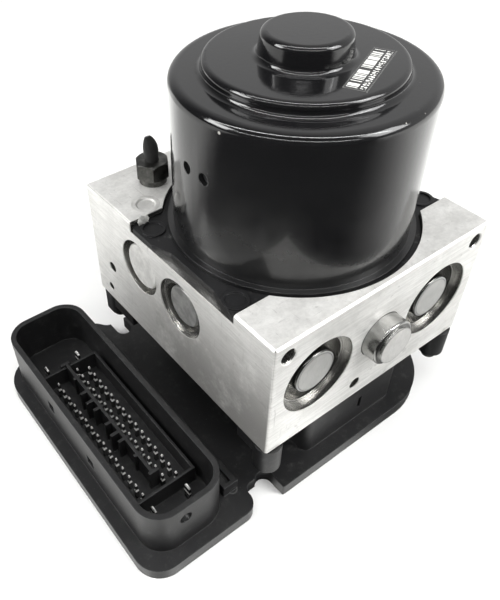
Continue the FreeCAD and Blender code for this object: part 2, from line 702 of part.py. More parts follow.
def commutator():
    base = (0, 0, BRUSH_PLATE_TOP)
    ring = tube(COMMUTATOR_RADIUS, SHAFT_RADIUS + PRESS_GAP, COMMUTATOR_HEIGHT, base)
    slot = block_between((COMMUTATOR_RADIUS - 1, -COMMUTATOR_SLOT / 2, BRUSH_PLATE_TOP),
                         (COMMUTATOR_RADIUS + 1, COMMUTATOR_SLOT / 2, BRUSH_PLATE_TOP + COMMUTATOR_HEIGHT))
    return ring.cut([around(slot, 360 / COMMUTATOR_BARS * k) for k in range(COMMUTATOR_BARS)])


def brush_plate():
    outer = CAN_RADIUS - CAN_WALL - SEAT_GAP
    bore = COMMUTATOR_RADIUS + BRUSH_PLATE_BORE_GAP
    plate = tube(outer, bore, BRUSH_PLATE_THICKNESS, (0, 0, PLATE_TOP))
    width = BRUSH_WIDTH / 2 + HOLDER_WALL
    start = COMMUTATOR_RADIUS + HOLDER_GAP
    top = BRUSH_BOTTOM + BRUSH_HEIGHT + HOLDER_WALL
    holder = block_between((start, -width, BRUSH_PLATE_TOP), (start + BRUSH_LENGTH, width, top))
    channel = block_between((start - 1, -BRUSH_WIDTH / 2, BRUSH_BOTTOM),
                            (start + BRUSH_LENGTH + 1, BRUSH_WIDTH / 2, BRUSH_BOTTOM + BRUSH_HEIGHT))
    holder = holder.cut(channel)
    plate = plate.fuse([holder, around(holder, 180)]).removeSplitter()
    return plate.cut(rod(CONTACT_BORE_RADIUS, BRUSH_PLATE_THICKNESS, (0, CONTACT_Y, PLATE_TOP)))


def motor_brushes():
    start = COMMUTATOR_RADIUS + REST_GAP
    gap = RUNNING_GAP
    brush = block_between((start, -BRUSH_WIDTH / 2 + gap, BRUSH_BOTTOM + gap),
                          (start + BRUSH_LENGTH, BRUSH_WIDTH / 2 - gap, BRUSH_BOTTOM + BRUSH_HEIGHT - gap))
    return Part.makeCompound([brush, around(brush, 180)])


def motor_contacts():
    low = BOARD_TOP
    high = BRUSH_PLATE_TOP + CONTACT_RISE
    blades = []
    for side in (-1, 1):
        middle = side * CONTACT_SPACING / 2
        blades.append(block_between((middle - CONTACT_THICKNESS / 2, CONTACT_Y - CONTACT_WIDTH / 2, low),
                                    (middle + CONTACT_THICKNESS / 2, CONTACT_Y + CONTACT_WIDTH / 2, high)))
    return Part.makeCompound(blades)


def motor_shaft():
    bottom = BEARING_BOTTOM
    top = CAN_PLATEAU - CAN_WALL + UPPER_BEARING_HEIGHT - SHAFT_END_GAP
    chamfer = SHAFT_CHAMFER
    shaft = turned([(0, bottom, 0), (SHAFT_RADIUS - chamfer, bottom, 0), (SHAFT_RADIUS, bottom + chamfer, 0),
                    (SHAFT_RADIUS, top - chamfer, 0), (SHAFT_RADIUS - chamfer, top, 0), (0, top, 0)])
    journal = rod(ECCENTRIC_RADIUS, ECCENTRIC_HEIGHT, (0, ECCENTRIC_OFFSET, PUMP_Z - ECCENTRIC_HEIGHT / 2))
    return shaft.fuse(journal).removeSplitter()


def eccentric_bearing():
    height = ECCENTRIC_HEIGHT - 2 * SEAT_GAP
    base = (0, ECCENTRIC_OFFSET, PUMP_Z - height / 2)
    return tube(RING_RADIUS, ECCENTRIC_RADIUS + PRESS_GAP, height, base)


def ball_race(outer, inner, height, base):
    race_wall = (outer - inner) * RACE_WALL_SHARE
    groove = height * RACE_GROOVE_SHARE
    low = base[2]
    section = [(inner, low, 0), (inner + race_wall, low, 0), (inner + race_wall, low + groove, 0),
               (outer - race_wall, low + groove, 0), (outer - race_wall, low, 0), (outer, low, 0),
               (outer, low + height, 0), (outer - race_wall, low + height, 0),
               (outer - race_wall, low + height - groove, 0), (inner + race_wall, low + height - groove, 0),
               (inner + race_wall, low + height, 0), (inner, low + height, 0)]
    return turned(section, (base[0], base[1], 0))


def upper_bearing():
    outer = BOSS_RADIUS - BOSS_TAPER - CAN_WALL - UPPER_BEARING_GAP
    base = (0, 0, CAN_PLATEAU - CAN_WALL)
    return ball_race(outer, SHAFT_RADIUS + RUNNING_GAP, UPPER_BEARING_HEIGHT, base)


def lower_bearing():
    base = (0, 0, BEARING_BOTTOM)
    return ball_race(LOWER_BEARING_RADIUS, SHAFT_RADIUS + RUNNING_GAP, LOWER_BEARING_HEIGHT, base)


# Pumps, modelled on the right side and mirrored for the left one

def pump_piston():
    crown = 0.4
    return turned([(0, 0, 0), (PISTON_HEAD_RADIUS - crown, 0, 0), (PISTON_HEAD_RADIUS, crown, 0),
                   (PISTON_HEAD_RADIUS, PISTON_HEAD_LENGTH, 0), (PISTON_RADIUS, PISTON_HEAD_LENGTH, 0),
                   (PISTON_RADIUS, PISTON_END - PISTON_TIP, 0), (0, PISTON_END - PISTON_TIP, 0)],
                  (PISTON_TIP, 0, PUMP_Z), "+x")


def pump_liner():
    length = LINER_END - LINER_START
    return tube(LINER_RADIUS, PISTON_RADIUS + RUNNING_GAP, length, (LINER_START, 0, PUMP_Z), "+x")


def pump_spring():
    length = PUMP_PLUG_INNER - PISTON_END
    radius = PISTON_RADIUS - 2 * PUMP_SPRING_WIRE
    return coil_spring(radius, PUMP_SPRING_WIRE, PUMP_SPRING_TURNS, length, (PISTON_END, 0, PUMP_Z), "+x")


def pump_plug():
    edge = 0.5
    end = PUMP_PLUG_LENGTH
    return turned([(0, 0, 0), (PUMP_PLUG_RADIUS, 0, 0), (PUMP_PLUG_RADIUS, end - edge, 0),
                   (PUMP_PLUG_RADIUS - edge, end, 0), (0, end, 0)], (PUMP_PLUG_INNER, 0, PUMP_Z), "+x")


def chamber_plug():
    edge = 0.4
    end = CHAMBER_PLUG_LENGTH
    base = (BLOCK_HALF_WIDTH - CHAMBER_PLUG_SET_BACK - end, CHAMBER_PLUG_Y, CHAMBER_PLUG_Z)
    return turned([(0, 0, 0), (CHAMBER_PLUG_RADIUS, 0, 0), (CHAMBER_PLUG_RADIUS, end - edge, 0),
                   (CHAMBER_PLUG_RADIUS - edge, end, 0), (0, end, 0)], base, "+x")


# Accumulators and damper, axis along Y with the cap to the front

def accumulator_cap():
    seated = ACCUMULATOR_BORE_RADIUS - PRESS_GAP
    shoulder = CAP_INNER - CAP_FACE
    depth = shoulder + CAP_SEAT_LENGTH
    return turned([(0, 0, 0), (CAP_RADIUS, 0, CAP_ROLL), (CAP_RADIUS, shoulder, 0), (seated, shoulder, 0),
                   (seated, depth, 0), (CAP_RADIUS - CAP_WALL, depth, 0),
                   (CAP_RADIUS - CAP_WALL, CAP_WALL, 0), (0, CAP_WALL, 0)],
                  (ACCUMULATOR_X, CAP_FACE, ACCUMULATOR_Z), "+y")


def accumulator_piston():
    wall = ACCUMULATOR_PISTON_WALL
    edge = 0.6
    length = ACCUMULATOR_PISTON_LENGTH
    radius = ACCUMULATOR_BORE_RADIUS - RUNNING_GAP
    end = ACCUMULATOR_BORE_END - REST_GAP - ACCUMULATOR_TRAVEL
    return turned([(0, 0, 0), (radius - edge, 0, 0), (radius, edge, 0), (radius, length, 0),
                   (radius - wall, length, 0), (radius - wall, wall, 0), (0, wall, 0)],
                  (ACCUMULATOR_X, end, ACCUMULATOR_Z), "-y")


def accumulator_spring():
    far = ACCUMULATOR_BORE_END - REST_GAP - ACCUMULATOR_TRAVEL - ACCUMULATOR_PISTON_WALL
    near = CAP_FACE + CAP_WALL
    radius = CAP_RADIUS - CAP_WALL - 2 * ACCUMULATOR_SPRING_WIRE
    return coil_spring(radius, ACCUMULATOR_SPRING_WIRE, ACCUMULATOR_SPRING_TURNS, far - near,
                       (ACCUMULATOR_X, near, ACCUMULATOR_Z), "+y")


def damper_cap():
    rolled = 0.9
    step = 1.0
    length = DAMPER_CAP_PROUD + DAMPER_CAP_INSET
    return turned([(0, 0, 0), (DAMPER_END_RADIUS, 0, 0), (DAMPER_END_RADIUS, step, 0),
                   (DAMPER_CAP_RADIUS - 0.2, step, rolled), (DAMPER_CAP_RADIUS, length, 0),
                   (DAMPER_CAP_RADIUS - CAP_WALL, length, 0), (DAMPER_CAP_RADIUS - CAP_WALL, 2 * CAP_WALL, 0),
                   (0, 2 * CAP_WALL, 0)], (0, BLOCK_FRONT - DAMPER_CAP_PROUD, DAMPER_Z), "+y")


# Ports

def tube_nut():
    x, y = port_place(PORT_ANGLES[0])
    top = BLOCK_TOP + NUT_COLLAR_HEIGHT
    half = NUT_FLATS / 2
    edge = NUT_CHAMFER
    height = NUT_HEX_HEIGHT
    chamfered = turned([(0, 0, 0), (half, 0, 0), (half + edge, edge, 0), (half + edge, height - edge, 0),
                        (half, height, 0), (0, height, 0)], (x, y, top))
    head = hexagon(NUT_FLATS, NUT_HEX_HEIGHT, (x, y, top)).common(chamfered)
    collar = rod(NUT_COLLAR_RADIUS, NUT_COLLAR_HEIGHT, (x, y, BLOCK_TOP))
    thread = rod(PORT_RADIUS - RUNNING_GAP, NUT_THREAD_LENGTH, (x, y, BLOCK_TOP), "-z")
    bore = rod(NUT_BORE_RADIUS, NUT_THREAD_LENGTH + NUT_COLLAR_HEIGHT + NUT_HEX_HEIGHT,
               (x, y, BLOCK_TOP - NUT_THREAD_LENGTH))
    return fused([head, collar, thread]).cut(bore)


def pipe_stub():
    x, y = port_place(PORT_ANGLES[0])
    low = BLOCK_TOP - NUT_THREAD_LENGTH
    straight = BLOCK_TOP + NUT_COLLAR_HEIGHT + NUT_HEX_HEIGHT + PIPE_STRAIGHT
    stub = rod(PIPE_RADIUS, straight - low, (x, y, low))
    ring = Part.Wire(Part.makeCircle(PIPE_RADIUS, Vector(x, y, straight), UP))
    long_half, short_half = (PIPE_RADIUS * share for share in PIPE_WAIST_SHARES)
    waist_centre = Vector(x - PIPE_LEAN / 4, y, straight + PIPE_RISE * PIPE_WAIST_LIFT)
    waist = Part.Wire(Part.Ellipse(waist_centre, long_half, short_half).toShape())
    tip_centre = Vector(x - PIPE_LEAN, y, straight + PIPE_RISE)
    tip = Part.Wire(Part.Ellipse(tip_centre, PIPE_RADIUS * PIPE_TIP_SHARE, PIPE_PINCH / 2).toShape())
    crushed = Part.makeLoft([ring, waist, tip], True)
    bore = rod(PIPE_RADIUS - PIPE_WALL, straight - low - 1, (x, y, low))
    return stub.fuse(crushed).removeSplitter().cut(bore)


def top_port_plug():
    dish = SEAL_PLUG_DISH
    x, y = seal_plug_place()
    radius = SEAL_PLUG_RADIUS
    top = SEAL_PLUG_LENGTH
    return turned([(0, 0, 0), (radius, 0, 0), (radius, top, 0), (radius - SEAL_PLUG_RIM, top, 0),
                   (radius - SEAL_PLUG_RIM - dish, top - dish, 0), (0, top - dish, 0)],
                  (x, y, BLOCK_TOP - SEAL_PLUG_LENGTH))


# Valves and coils

def solenoid_valve(x, y, collar_radius):
    dome_low = BLOCK_BOTTOM - DOME_LENGTH
    collar_low = BLOCK_BOTTOM - VALVE_COLLAR_HEIGHT
    top = BLOCK_BOTTOM + VALVE_INSERT
    body_top = BLOCK_BOTTOM + VALVE_BODY
    neck = VALVE_RADIUS - VALVE_NECK
    tip = neck - VALVE_STEP
    tip_low = top - VALVE_TIP
    return turned([(0, dome_low, 0), (DOME_RADIUS, dome_low, DOME_ROUND), (DOME_RADIUS, collar_low, 0),
                   (collar_radius, collar_low, 0), (collar_radius, BLOCK_BOTTOM, 0),
                   (VALVE_RADIUS, BLOCK_BOTTOM, 0), (VALVE_RADIUS, body_top, 0),
                   (neck, body_top + VALVE_STEP, 0), (neck, tip_low - VALVE_STEP, 0),
                   (tip, tip_low, 0), (tip, top, 0), (0, top, 0)], (x, y, 0))


def valve_coil(x, y):
    bore = DOME_RADIUS + SEAT_GAP
    low = COIL_BOTTOM
    high = COIL_TOP
    return turned([(bore, low, 0), (COIL_RADIUS, low, 0), (COIL_RADIUS, low + COIL_FLANGE, 0),
                   (COIL_NECK_RADIUS, low + COIL_FLANGE, 0), (COIL_NECK_RADIUS, high - COIL_FLANGE, 0),
                   (COIL_RADIUS, high - COIL_FLANGE, 0), (COIL_RADIUS, high, 0), (bore, high, 0)], (x, y, 0))


# Controller

def screw_places():
    return [(-POST_X, POST_FRONT, POST_BOTTOM), (POST_X, POST_FRONT, POST_BOTTOM),
            (-POST_X, LUG_SCREW_Y, LUG_BOTTOM), (POST_X, LUG_SCREW_Y, LUG_BOTTOM)]


def footprint(low, high, inset):
    front, back, step = HOUSING_CORNERS
    notch_left, notch_right, notch_back = NOTCH_CORNERS
    outline = [(HOUSING_LEFT, HOUSING_FRONT, front), (NOTCH_LEFT, HOUSING_FRONT, notch_left),
               (NOTCH_LEFT, NOTCH_BACK, notch_back), (NOTCH_RIGHT, NOTCH_BACK, notch_back),
               (NOTCH_RIGHT, HOUSING_FRONT, notch_right), (HOUSING_RIGHT, HOUSING_FRONT, HOUSING_ROUND_OFF),
               (HOUSING_RIGHT, HOUSING_BACK_STEP, step), (HOUSING_STEP_RIGHT, HOUSING_BACK_STEP, step),
               (HOUSING_STEP_LEFT, HOUSING_BACK, step), (HOUSING_LEFT, HOUSING_BACK, back)]
    return flat_plate(outline, low, high, inset)


def coil_box(inset, low, high):
    return rounded_block((COIL_BOX_LEFT + inset, COIL_BOX_FRONT + inset, low),
                         (COIL_BOX_RIGHT - inset, COIL_BOX_BACK - inset, high), COIL_BOX_CORNER - inset * 0.5)


def shroud():
    outer = rounded_block((SHROUD_LEFT, SHROUD_FRONT, FLANGE_HEIGHT), (SHROUD_RIGHT, SHROUD_BACK, SHROUD_TOP),
                          SHROUD_CORNER)
    wall = SHROUD_WALL
    inner = rounded_block((SHROUD_LEFT + wall, SHROUD_FRONT + wall, SHROUD_FLOOR),
                          (SHROUD_RIGHT - wall, SHROUD_BACK - wall, SHROUD_TOP + 1), SHROUD_CORNER - wall)
    shell = outer.cut(inner)
    for y, z in WINDOW_PLACES:
        shell = shell.cut(block_between((SHROUD_LEFT - 1, y - WINDOW_WIDTH / 2, z - WINDOW_HEIGHT / 2),
                                        (SHROUD_LEFT + wall + 1, y + WINDOW_WIDTH / 2, z + WINDOW_HEIGHT / 2)))
    return shell.cut(rod(KEYHOLE_RADIUS, wall + 2, (KEYHOLE_X, SHROUD_FRONT - 1, KEYHOLE_Z), "+y"))


def pin_well():
    outer = block_between((WELL_LEFT, WELL_FRONT, SHROUD_FLOOR), (WELL_RIGHT, WELL_BACK, WELL_TOP))
    inner = block_between((WELL_LEFT + WELL_WALL, WELL_FRONT + WELL_WALL, SHROUD_FLOOR),
                          (WELL_RIGHT - WELL_WALL, WELL_BACK - WELL_WALL, WELL_TOP))
    return outer.cut(inner)


def key_rib():
    half = KEY_RIB_WIDTH / 2
    x = KEY_RIB_X
    top = KEY_RIB_TOP
    rib = block_between((x - half, KEY_RIB_FRONT, SHROUD_FLOOR), (x + half, KEY_RIB_BACK, top))
    crosses = [block_between((x - left, y - half, SHROUD_FLOOR), (x + right, y + half, top))
               for y, left, right in KEY_RIB_CROSSES]
    return fused([rib] + crosses)


def arm(x, y, low):
    side = 1 if x > 0 else -1
    wall_middle = (COIL_BOX_RIGHT if x > 0 else COIL_BOX_LEFT) - side * HOUSING_WALL / 2
    half = ARM_WIDTH / 2
    inner_y = min(max(y, COIL_BOX_FRONT + COIL_BOX_CORNER + half), COIL_BOX_BACK - COIL_BOX_CORNER - half)
    across = block_between((min(x, wall_middle), inner_y - half, low),
                           (max(x, wall_middle), inner_y + half, STANDOFF))
    along = block_between((x - half, min(y, inner_y - half), low),
                          (x + half, max(y, inner_y + half), STANDOFF))
    return [across, along]


def posts_and_lugs():
    pieces = []
    for side in (-1, 1):
        pieces.append(rod(POST_RADIUS, STANDOFF - POST_BOTTOM, (side * POST_X, POST_FRONT, POST_BOTTOM)))
        inside = LUG_OUTSIDE - LUG_WIDTH
        lug = rounded_block((inside, LUG_FRONT, LUG_BOTTOM), (LUG_OUTSIDE, LUG_BACK, STANDOFF), LUG_CORNER)
        pieces.append(lug if side > 0 else mirrored(lug))
        for y in (POST_FRONT, LUG_SCREW_Y):
            pieces += arm(side * POST_X, y, STANDOFF - ARM_THICKNESS)
    return pieces


def ledge():
    front = SHROUD_FRONT + LEDGE_END_INSET
    back = SHROUD_BACK - LEDGE_END_INSET
    bar = block_between((LEDGE_LEFT, front, FLANGE_HEIGHT), (LEDGE_RIGHT, back, LEDGE_HEIGHT))
    middle = (LEDGE_LEFT + LEDGE_RIGHT) / 2
    half = LEDGE_GROOVE / 2
    groove = block_between((middle - half, front + LEDGE_GROOVE_INSET, LEDGE_HEIGHT - LEDGE_GROOVE),
                           (middle + half, back - LEDGE_GROOVE_INSET, LEDGE_HEIGHT))
    return bar.cut(groove)


def pin_places():
    first = -(PIN_COUNT - 1) / 2 * PIN_PITCH
    return [(x, middle + first + k * PIN_PITCH) for x, middle in PIN_ROWS for k in range(PIN_COUNT)]


def pin_holes():
    holes = []
    half = PIN_FOOT_SIDE / 2 + PRESS_GAP
    for x, y in pin_places():
        holes.append(block_between((x - half, y - half, BOARD_TOP - 1), (x + half, y + half, SHROUD_FLOOR)))
    half_width = BLADE_WIDTH / 2 + PRESS_GAP
    half_thick = BLADE_THICKNESS / 2 + PRESS_GAP
    for x in BLADE_X:
        for y in BLADE_Y:
            holes.append(block_between((x - half_thick, y - half_width, BOARD_TOP - 1),
                                       (x + half_thick, y + half_width, SHROUD_FLOOR)))
    return holes


def seal_ring():
    outer = coil_box(SEAL_INSET, STANDOFF - SEAL_HEIGHT, STANDOFF)
    return outer.cut(coil_box(SEAL_INSET + SEAL_WIDTH, STANDOFF - SEAL_HEIGHT - 1, STANDOFF + 1))


def access_slots(margin, low, high):
    slots = []
    reach = ACCESS_RADIUS + margin
    for x, y, bottom in screw_places():
        outer_y = HOUSING_FRONT - 1 if y < 0 else HOUSING_BACK + 1
        slots.append(rod(reach, high - low, (x, y, low)))
        slots.append(block_between((x - reach, min(y, outer_y), low), (x + reach, max(y, outer_y), high)))
    return slots


def ecu_housing():
    room_top = COVER_THICKNESS + BOARD_ROOM
    body = footprint(COVER_THICKNESS, FLANGE_HEIGHT, 0).cut(access_slots(0, 0, FLANGE_HEIGHT + 1))
    plinth = rounded_block((SHROUD_LEFT, SHROUD_FRONT, FLANGE_HEIGHT - 1),
                           (SHROUD_RIGHT, SHROUD_BACK, SHROUD_FLOOR), SHROUD_CORNER)
    box = coil_box(0, FLANGE_HEIGHT - 1, STANDOFF)
    body = fused([body, plinth, shroud(), pin_well(), key_rib(), ledge(), box] + posts_and_lugs())
    room = footprint(COVER_THICKNESS - 1, room_top, HOUSING_WALL)
    room = room.cut(access_slots(HOUSING_WALL, COVER_THICKNESS - 2, room_top + 1))
    coils = coil_box(HOUSING_WALL, COVER_THICKNESS, STANDOFF + 1)
    half_slot = COIL_BOX_SLOT_WIDTH / 2
    half_rise = COIL_BOX_SLOT_HEIGHT / 2
    slot_x = COIL_BOX_SLOT_X
    slot_z = COIL_BOX_SLOT_Z
    slot = block_between((slot_x - half_slot, COIL_BOX_FRONT - 1, slot_z - half_rise),
                         (slot_x + half_slot, COIL_BOX_FRONT + HOUSING_WALL + 1, slot_z + half_rise))
    bores = [rod(SLEEVE_RADIUS + PRESS_GAP, STANDOFF - FLANGE_HEIGHT, (x, y, FLANGE_HEIGHT))
             for x, y, bottom in screw_places()]
    return body.cut([room, coils, slot, seal_ring()] + bores + pin_holes())


def ecu_cover():
    plate = footprint(0, COVER_THICKNESS, 0).cut(access_slots(0, -1, COVER_THICKNESS + 1))
    inset = HOUSING_WALL + SEAT_GAP
    rib_top = COVER_THICKNESS + COVER_RIB
    rib = footprint(COVER_THICKNESS - 0.5, rib_top, inset)
    rib = rib.cut(footprint(COVER_THICKNESS - 1, rib_top + 1, inset + COVER_RIB_WIDTH))
    rib = rib.cut(access_slots(inset, 0, rib_top + 1))
    return plate.fuse(rib).removeSplitter()


def circuit_board():
    margin = HOUSING_WALL + BOARD_MARGIN
    board = footprint(BOARD_BOTTOM, BOARD_TOP, margin + COVER_RIB_WIDTH)
    return board.cut(access_slots(margin, 0, BOARD_TOP + 1))


def four_sided(x, y, side_x, side_y, z):
    corners = [(-1, -1), (1, -1), (1, 1), (-1, 1), (-1, -1)]
    return Part.makePolygon([Vector(x + a * side_x / 2, y + b * side_y / 2, z) for a, b in corners])


def pointed_pin(x, y, side_x, side_y, foot):
    point = 0.45
    levels = [(BOARD_TOP, foot), (PIN_FOOT_TOP, foot), (PIN_FOOT_TOP + PIN_FOOT_TAPER, 0),
              (PIN_TOP - PIN_POINT, 0)]
    rings = [four_sided(x, y, side_x + extra, side_y + extra, z) for z, extra in levels]
    rings.append(four_sided(x, y, side_x * point, side_y * point, PIN_TOP))
    return Part.makeLoft(rings, True, True)


def connector_pins():
    foot = PIN_FOOT_SIDE - PIN_SIDE
    return Part.makeCompound([pointed_pin(x, y, PIN_SIDE, PIN_SIDE, foot) for x, y in pin_places()])


def connector_blades():
    places = [(x, y) for x in BLADE_X for y in BLADE_Y]
    return Part.makeCompound([pointed_pin(x, y, BLADE_THICKNESS, BLADE_WIDTH, 0) for x, y in places])


def housing_sleeves():
    sleeves = []
    for x, y, bottom in screw_places():
        low = bottom - SLEEVE_PROUD
        sleeves.append(tube(SLEEVE_RADIUS, SLEEVE_RADIUS - SLEEVE_WALL, STANDOFF - low, (x, y, low)))
    return Part.makeCompound(sleeves)


def housing_screws():
    edge = 0.8
    screws = []
    for x, y, bottom in screw_places():
        under_head = bottom - SLEEVE_PROUD
        base = (x, y, under_head - SCREW_HEAD_HEIGHT)
        head = turned([(0, 0, 0), (SCREW_HEAD_RADIUS, 0, edge), (SCREW_HEAD_RADIUS, SCREW_HEAD_HEIGHT, 0),
                       (0, SCREW_HEAD_HEIGHT, 0)], base)
        socket = hexagon(SCREW_SOCKET_FLATS, SCREW_HEAD_HEIGHT / 2, base)
        shank = rod(SCREW_RADIUS, STANDOFF - under_head + SCREW_BITE, (x, y, under_head))
        screws.append(head.fuse(shank).cut(socket))
    return Part.makeCompound(screws)


def block_seal():
    return seal_ring()


def build_pieces():
    pieces = {
        "valve_block": valve_block(), "motor_end_plate": motor_end_plate(), "motor_can": motor_can(),
        "motor_magnets": motor_magnets(), "armature_core": armature_core(),
        "armature_winding": armature_winding(),
        "commutator": commutator(), "brush_plate": brush_plate(), "motor_brushes": motor_brushes(),
        "motor_contacts": motor_contacts(), "motor_shaft": motor_shaft(),
        "eccentric_bearing": eccentric_bearing(),
        "upper_bearing": upper_bearing(), "lower_bearing": lower_bearing(), "damper_cap": damper_cap(),
        "tube_nut": tube_nut(), "pipe_stub": pipe_stub(), "top_port_plug": top_port_plug(),
        "ecu_housing": ecu_housing(), "ecu_cover": ecu_cover(), "circuit_board": circuit_board(),
        "connector_pins": connector_pins(), "connector_blades": connector_blades(),
        "housing_sleeves": housing_sleeves(), "housing_screws": housing_screws(), "block_seal": block_seal(),
    }
    paired = {"pump_piston": pump_piston, "pump_liner": pump_liner, "pump_spring": pump_spring,
              "pump_plug": pump_plug, "chamber_plug": chamber_plug, "accumulator_cap": accumulator_cap,
              "accumulator_piston": accumulator_piston, "accumulator_spring": accumulator_spring}
    for name, make in paired.items():
        right = make()
        pieces[name + "_right"] = right
        pieces[name + "_left"] = mirrored(right)
    for row, y in enumerate(VALVE_ROWS):
        pieces["inlet_valve_%d" % (row + 1)] = solenoid_valve(-VALVE_X, y, VALVE_COLLAR_RADIUS)
        pieces["outlet_valve_%d" % (row + 1)] = solenoid_valve(VALVE_X, y, VALVE_COLLAR_RADIUS - 0.4)
        pieces["inlet_coil_%d" % (row + 1)] = valve_coil(-VALVE_X, y)
        pieces["outlet_coil_%d" % (row + 1)] = valve_coil(VALVE_X, y)
    return pieces


os.makedirs("parts", exist_ok=True)
for name, shape in build_pieces().items():
    if not shape.isValid():
        print("not valid:", name)
    shape.exportStep("parts/%s.step" % name)
    print(name, len(shape.Solids), round(shape.Volume, 1))
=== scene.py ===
import math

import bmesh
import bpy
from mathutils import Matrix, Vector


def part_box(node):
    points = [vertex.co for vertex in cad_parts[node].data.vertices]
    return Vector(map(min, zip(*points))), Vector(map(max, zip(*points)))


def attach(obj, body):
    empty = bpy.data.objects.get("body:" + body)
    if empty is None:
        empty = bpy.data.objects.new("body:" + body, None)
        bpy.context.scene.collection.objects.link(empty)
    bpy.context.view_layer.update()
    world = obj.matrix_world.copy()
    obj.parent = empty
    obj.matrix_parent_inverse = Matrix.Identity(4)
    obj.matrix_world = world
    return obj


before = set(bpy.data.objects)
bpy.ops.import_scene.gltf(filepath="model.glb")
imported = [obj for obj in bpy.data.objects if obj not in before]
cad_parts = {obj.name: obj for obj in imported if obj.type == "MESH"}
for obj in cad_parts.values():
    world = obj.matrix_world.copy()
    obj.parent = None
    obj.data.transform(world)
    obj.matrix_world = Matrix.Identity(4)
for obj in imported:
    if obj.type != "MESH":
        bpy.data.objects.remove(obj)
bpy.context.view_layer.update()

# Abs brake module: finishes, small pieces, studio and camera. Metres, +Z up, origin under the motor axis.

MM = 0.001


def mm(*values):
    """Millimetres as metres."""
    return tuple(value * MM for value in values)


# Camera, found from the edges and circles of the photograph (500 x 600 pixels)
PHOTO_WIDTH = 500
PHOTO_HEIGHT = 600
FOCAL_PIXELS = 657.3
CENTRE_X = 194.7
CENTRE_Y = 302.5
CAMERA_PLACE = mm(-130.9, -126.85, 209.6)
CAMERA_YAW = math.radians(-35.53)
CAMERA_PITCH = math.radians(44.13)
CAMERA_ROLL = math.radians(-1.63)
CAMERA_NEAR = 10 * MM
SENSOR = 36.0

# Surroundings: the side from which polished surfaces get their light, and the level for each kind of surface
BRIGHT_SIDE = (0.96, 0.28, 0.0)
WORLD_LEVEL = 0.42
MIRRORED_DARK = 0.04
MIRRORED_BRIGHT = 0.64
MIRRORED_FADE = (-0.3, 0.7)

# Floor: its two pale tones, the dark tone it shows in polished surfaces as a painted reflection, and the
# distance at which it turns white
FLOOR_SIZE = 12.0
FLOOR_TONES = ((0.86, 0.86, 0.85), (0.88, 0.88, 0.87))
FLOOR_PAINTED_REFLECTION = (0.015, 0.015, 0.015)
FLOOR_WHITE = (1.0, 1.0, 0.98)
FLOOR_FADE = (0.35, 1.3)

# Glow of the floor, seen only in polished surfaces as painted reflections of light: its strength, and where
# its bright patches fade along X and Y
GLOW_LEVEL = 1.7
GLOW_SIDE = (-0.06, 0.22)
GLOW_BEHIND = mm(60, 160)
GLOW_LEFT = (mm(-145, -125, -90, -80), mm(-80, -50, 70, 100))
GLOW_FRONT = (mm(-110, -90, -20, 20), mm(-95, -80, -45, -40))

# Lamps: place, the point they face, size, power and, for a tube, its direction
ACROSS_VIEW = (0.696, -0.718, 0.0)
CAN_MIDDLE = (0.0, 0.0, 0.1)
LAMPS = {
    "overhead_tube": ((-0.12, -0.12, 0.95), CAN_MIDDLE, (2.6, 0.030), 9.5, ACROSS_VIEW),
    "camera_tube": ((-0.62, -0.60, 0.85), CAN_MIDDLE, (2.2, 0.025), 5.0, ACROSS_VIEW),
    "front_box": ((0.44, -0.66, 0.66), (0.0, 0.0, 0.06), (0.5, 0.5), 5.8, None),
    "left_box": ((-0.90, 0.40, 0.60), (-0.04, 0.0, 0.05), (0.4, 0.4), 6.0, None),
}

# Lowest and highest corners of the valve block
BLOCK_LOW, BLOCK_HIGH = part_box("valve_block")

# Block: how far under its faces the finish changes, less on the back and on the left face with its soil and
# painted shade
SKIN = mm(0.2, 0.4)
THIN_SKIN = mm(0.1, 0.3)

# Block: where the threads of the ports, the turned front recesses and the soil with its painted shade fade
# in and out
BACK_PORT_Y = mm(40, 41)
BACK_PORT_Z = mm(48, 49, 62, 63)
TOP_PORT_Y = mm(37, 38)
TOP_PORT_Z = mm(65, 66)
RECESS_Y = mm(-36, -35)
SOIL_SHADE_Y = mm(-5, 58)
SOIL_SHADE_Z = mm(36, 88)

# Threads of the ports: pitch, and the scale of a wave texture, which turns by 20 radians a metre at scale 1
THREAD_PITCH = 1.0 * MM
WAVE_RADIANS = 20.0
THREAD_WAVE = math.tau / WAVE_RADIANS / THREAD_PITCH

# Colours of the block; the bore colour is painted shade, and the soil colour is soil mixed with painted
# shade
ALUMINIUM_DULL = (0.66, 0.655, 0.63)
ALUMINIUM_BRIGHT = (0.93, 0.925, 0.90)
TURNED_BRIGHT = (0.85, 0.845, 0.82)
BORE_PAINTED_SHADE = (0.34, 0.335, 0.32)
STAIN = (0.48, 0.475, 0.455)
FLECK = (0.30, 0.29, 0.27)
SCRATCH = (0.36, 0.355, 0.34)
SOIL_AND_SHADE = (0.24, 0.235, 0.225)

# Scratches of the block: noise scale, stretch, turn, and the levels between which they show
SCRATCHES = (
    (90, (1.0, 16.0, 1.0), (0, 0, 0.5), (0.66, 0.70)),
    (80, (14.0, 1.0, 1.0), (0, 0.3, -0.35), (0.68, 0.71)),
)

# Motor can: colours, heights of its dull film and dull foot, and its paint chips, each a place and a radius
PAINT_TONES = ((0.004, 0.004, 0.0045), (0.009, 0.009, 0.0095))
PAINT_FILM = (0.035, 0.035, 0.034)
PAINT_DUST = (0.12, 0.12, 0.115)
BARE_STEEL = (0.42, 0.41, 0.38)
FILM_Z = mm(90, 122)
DULL_FOOT_Z = mm(80, 100)
CAN_CHIPS = (
    (mm(-37.9, -9.3, 124.1), 0.6 * MM),
    (mm(6.9, -38.0, 126.6), 0.7 * MM),
    (mm(-1.1, -38.2, 126.6), 0.45 * MM),
)

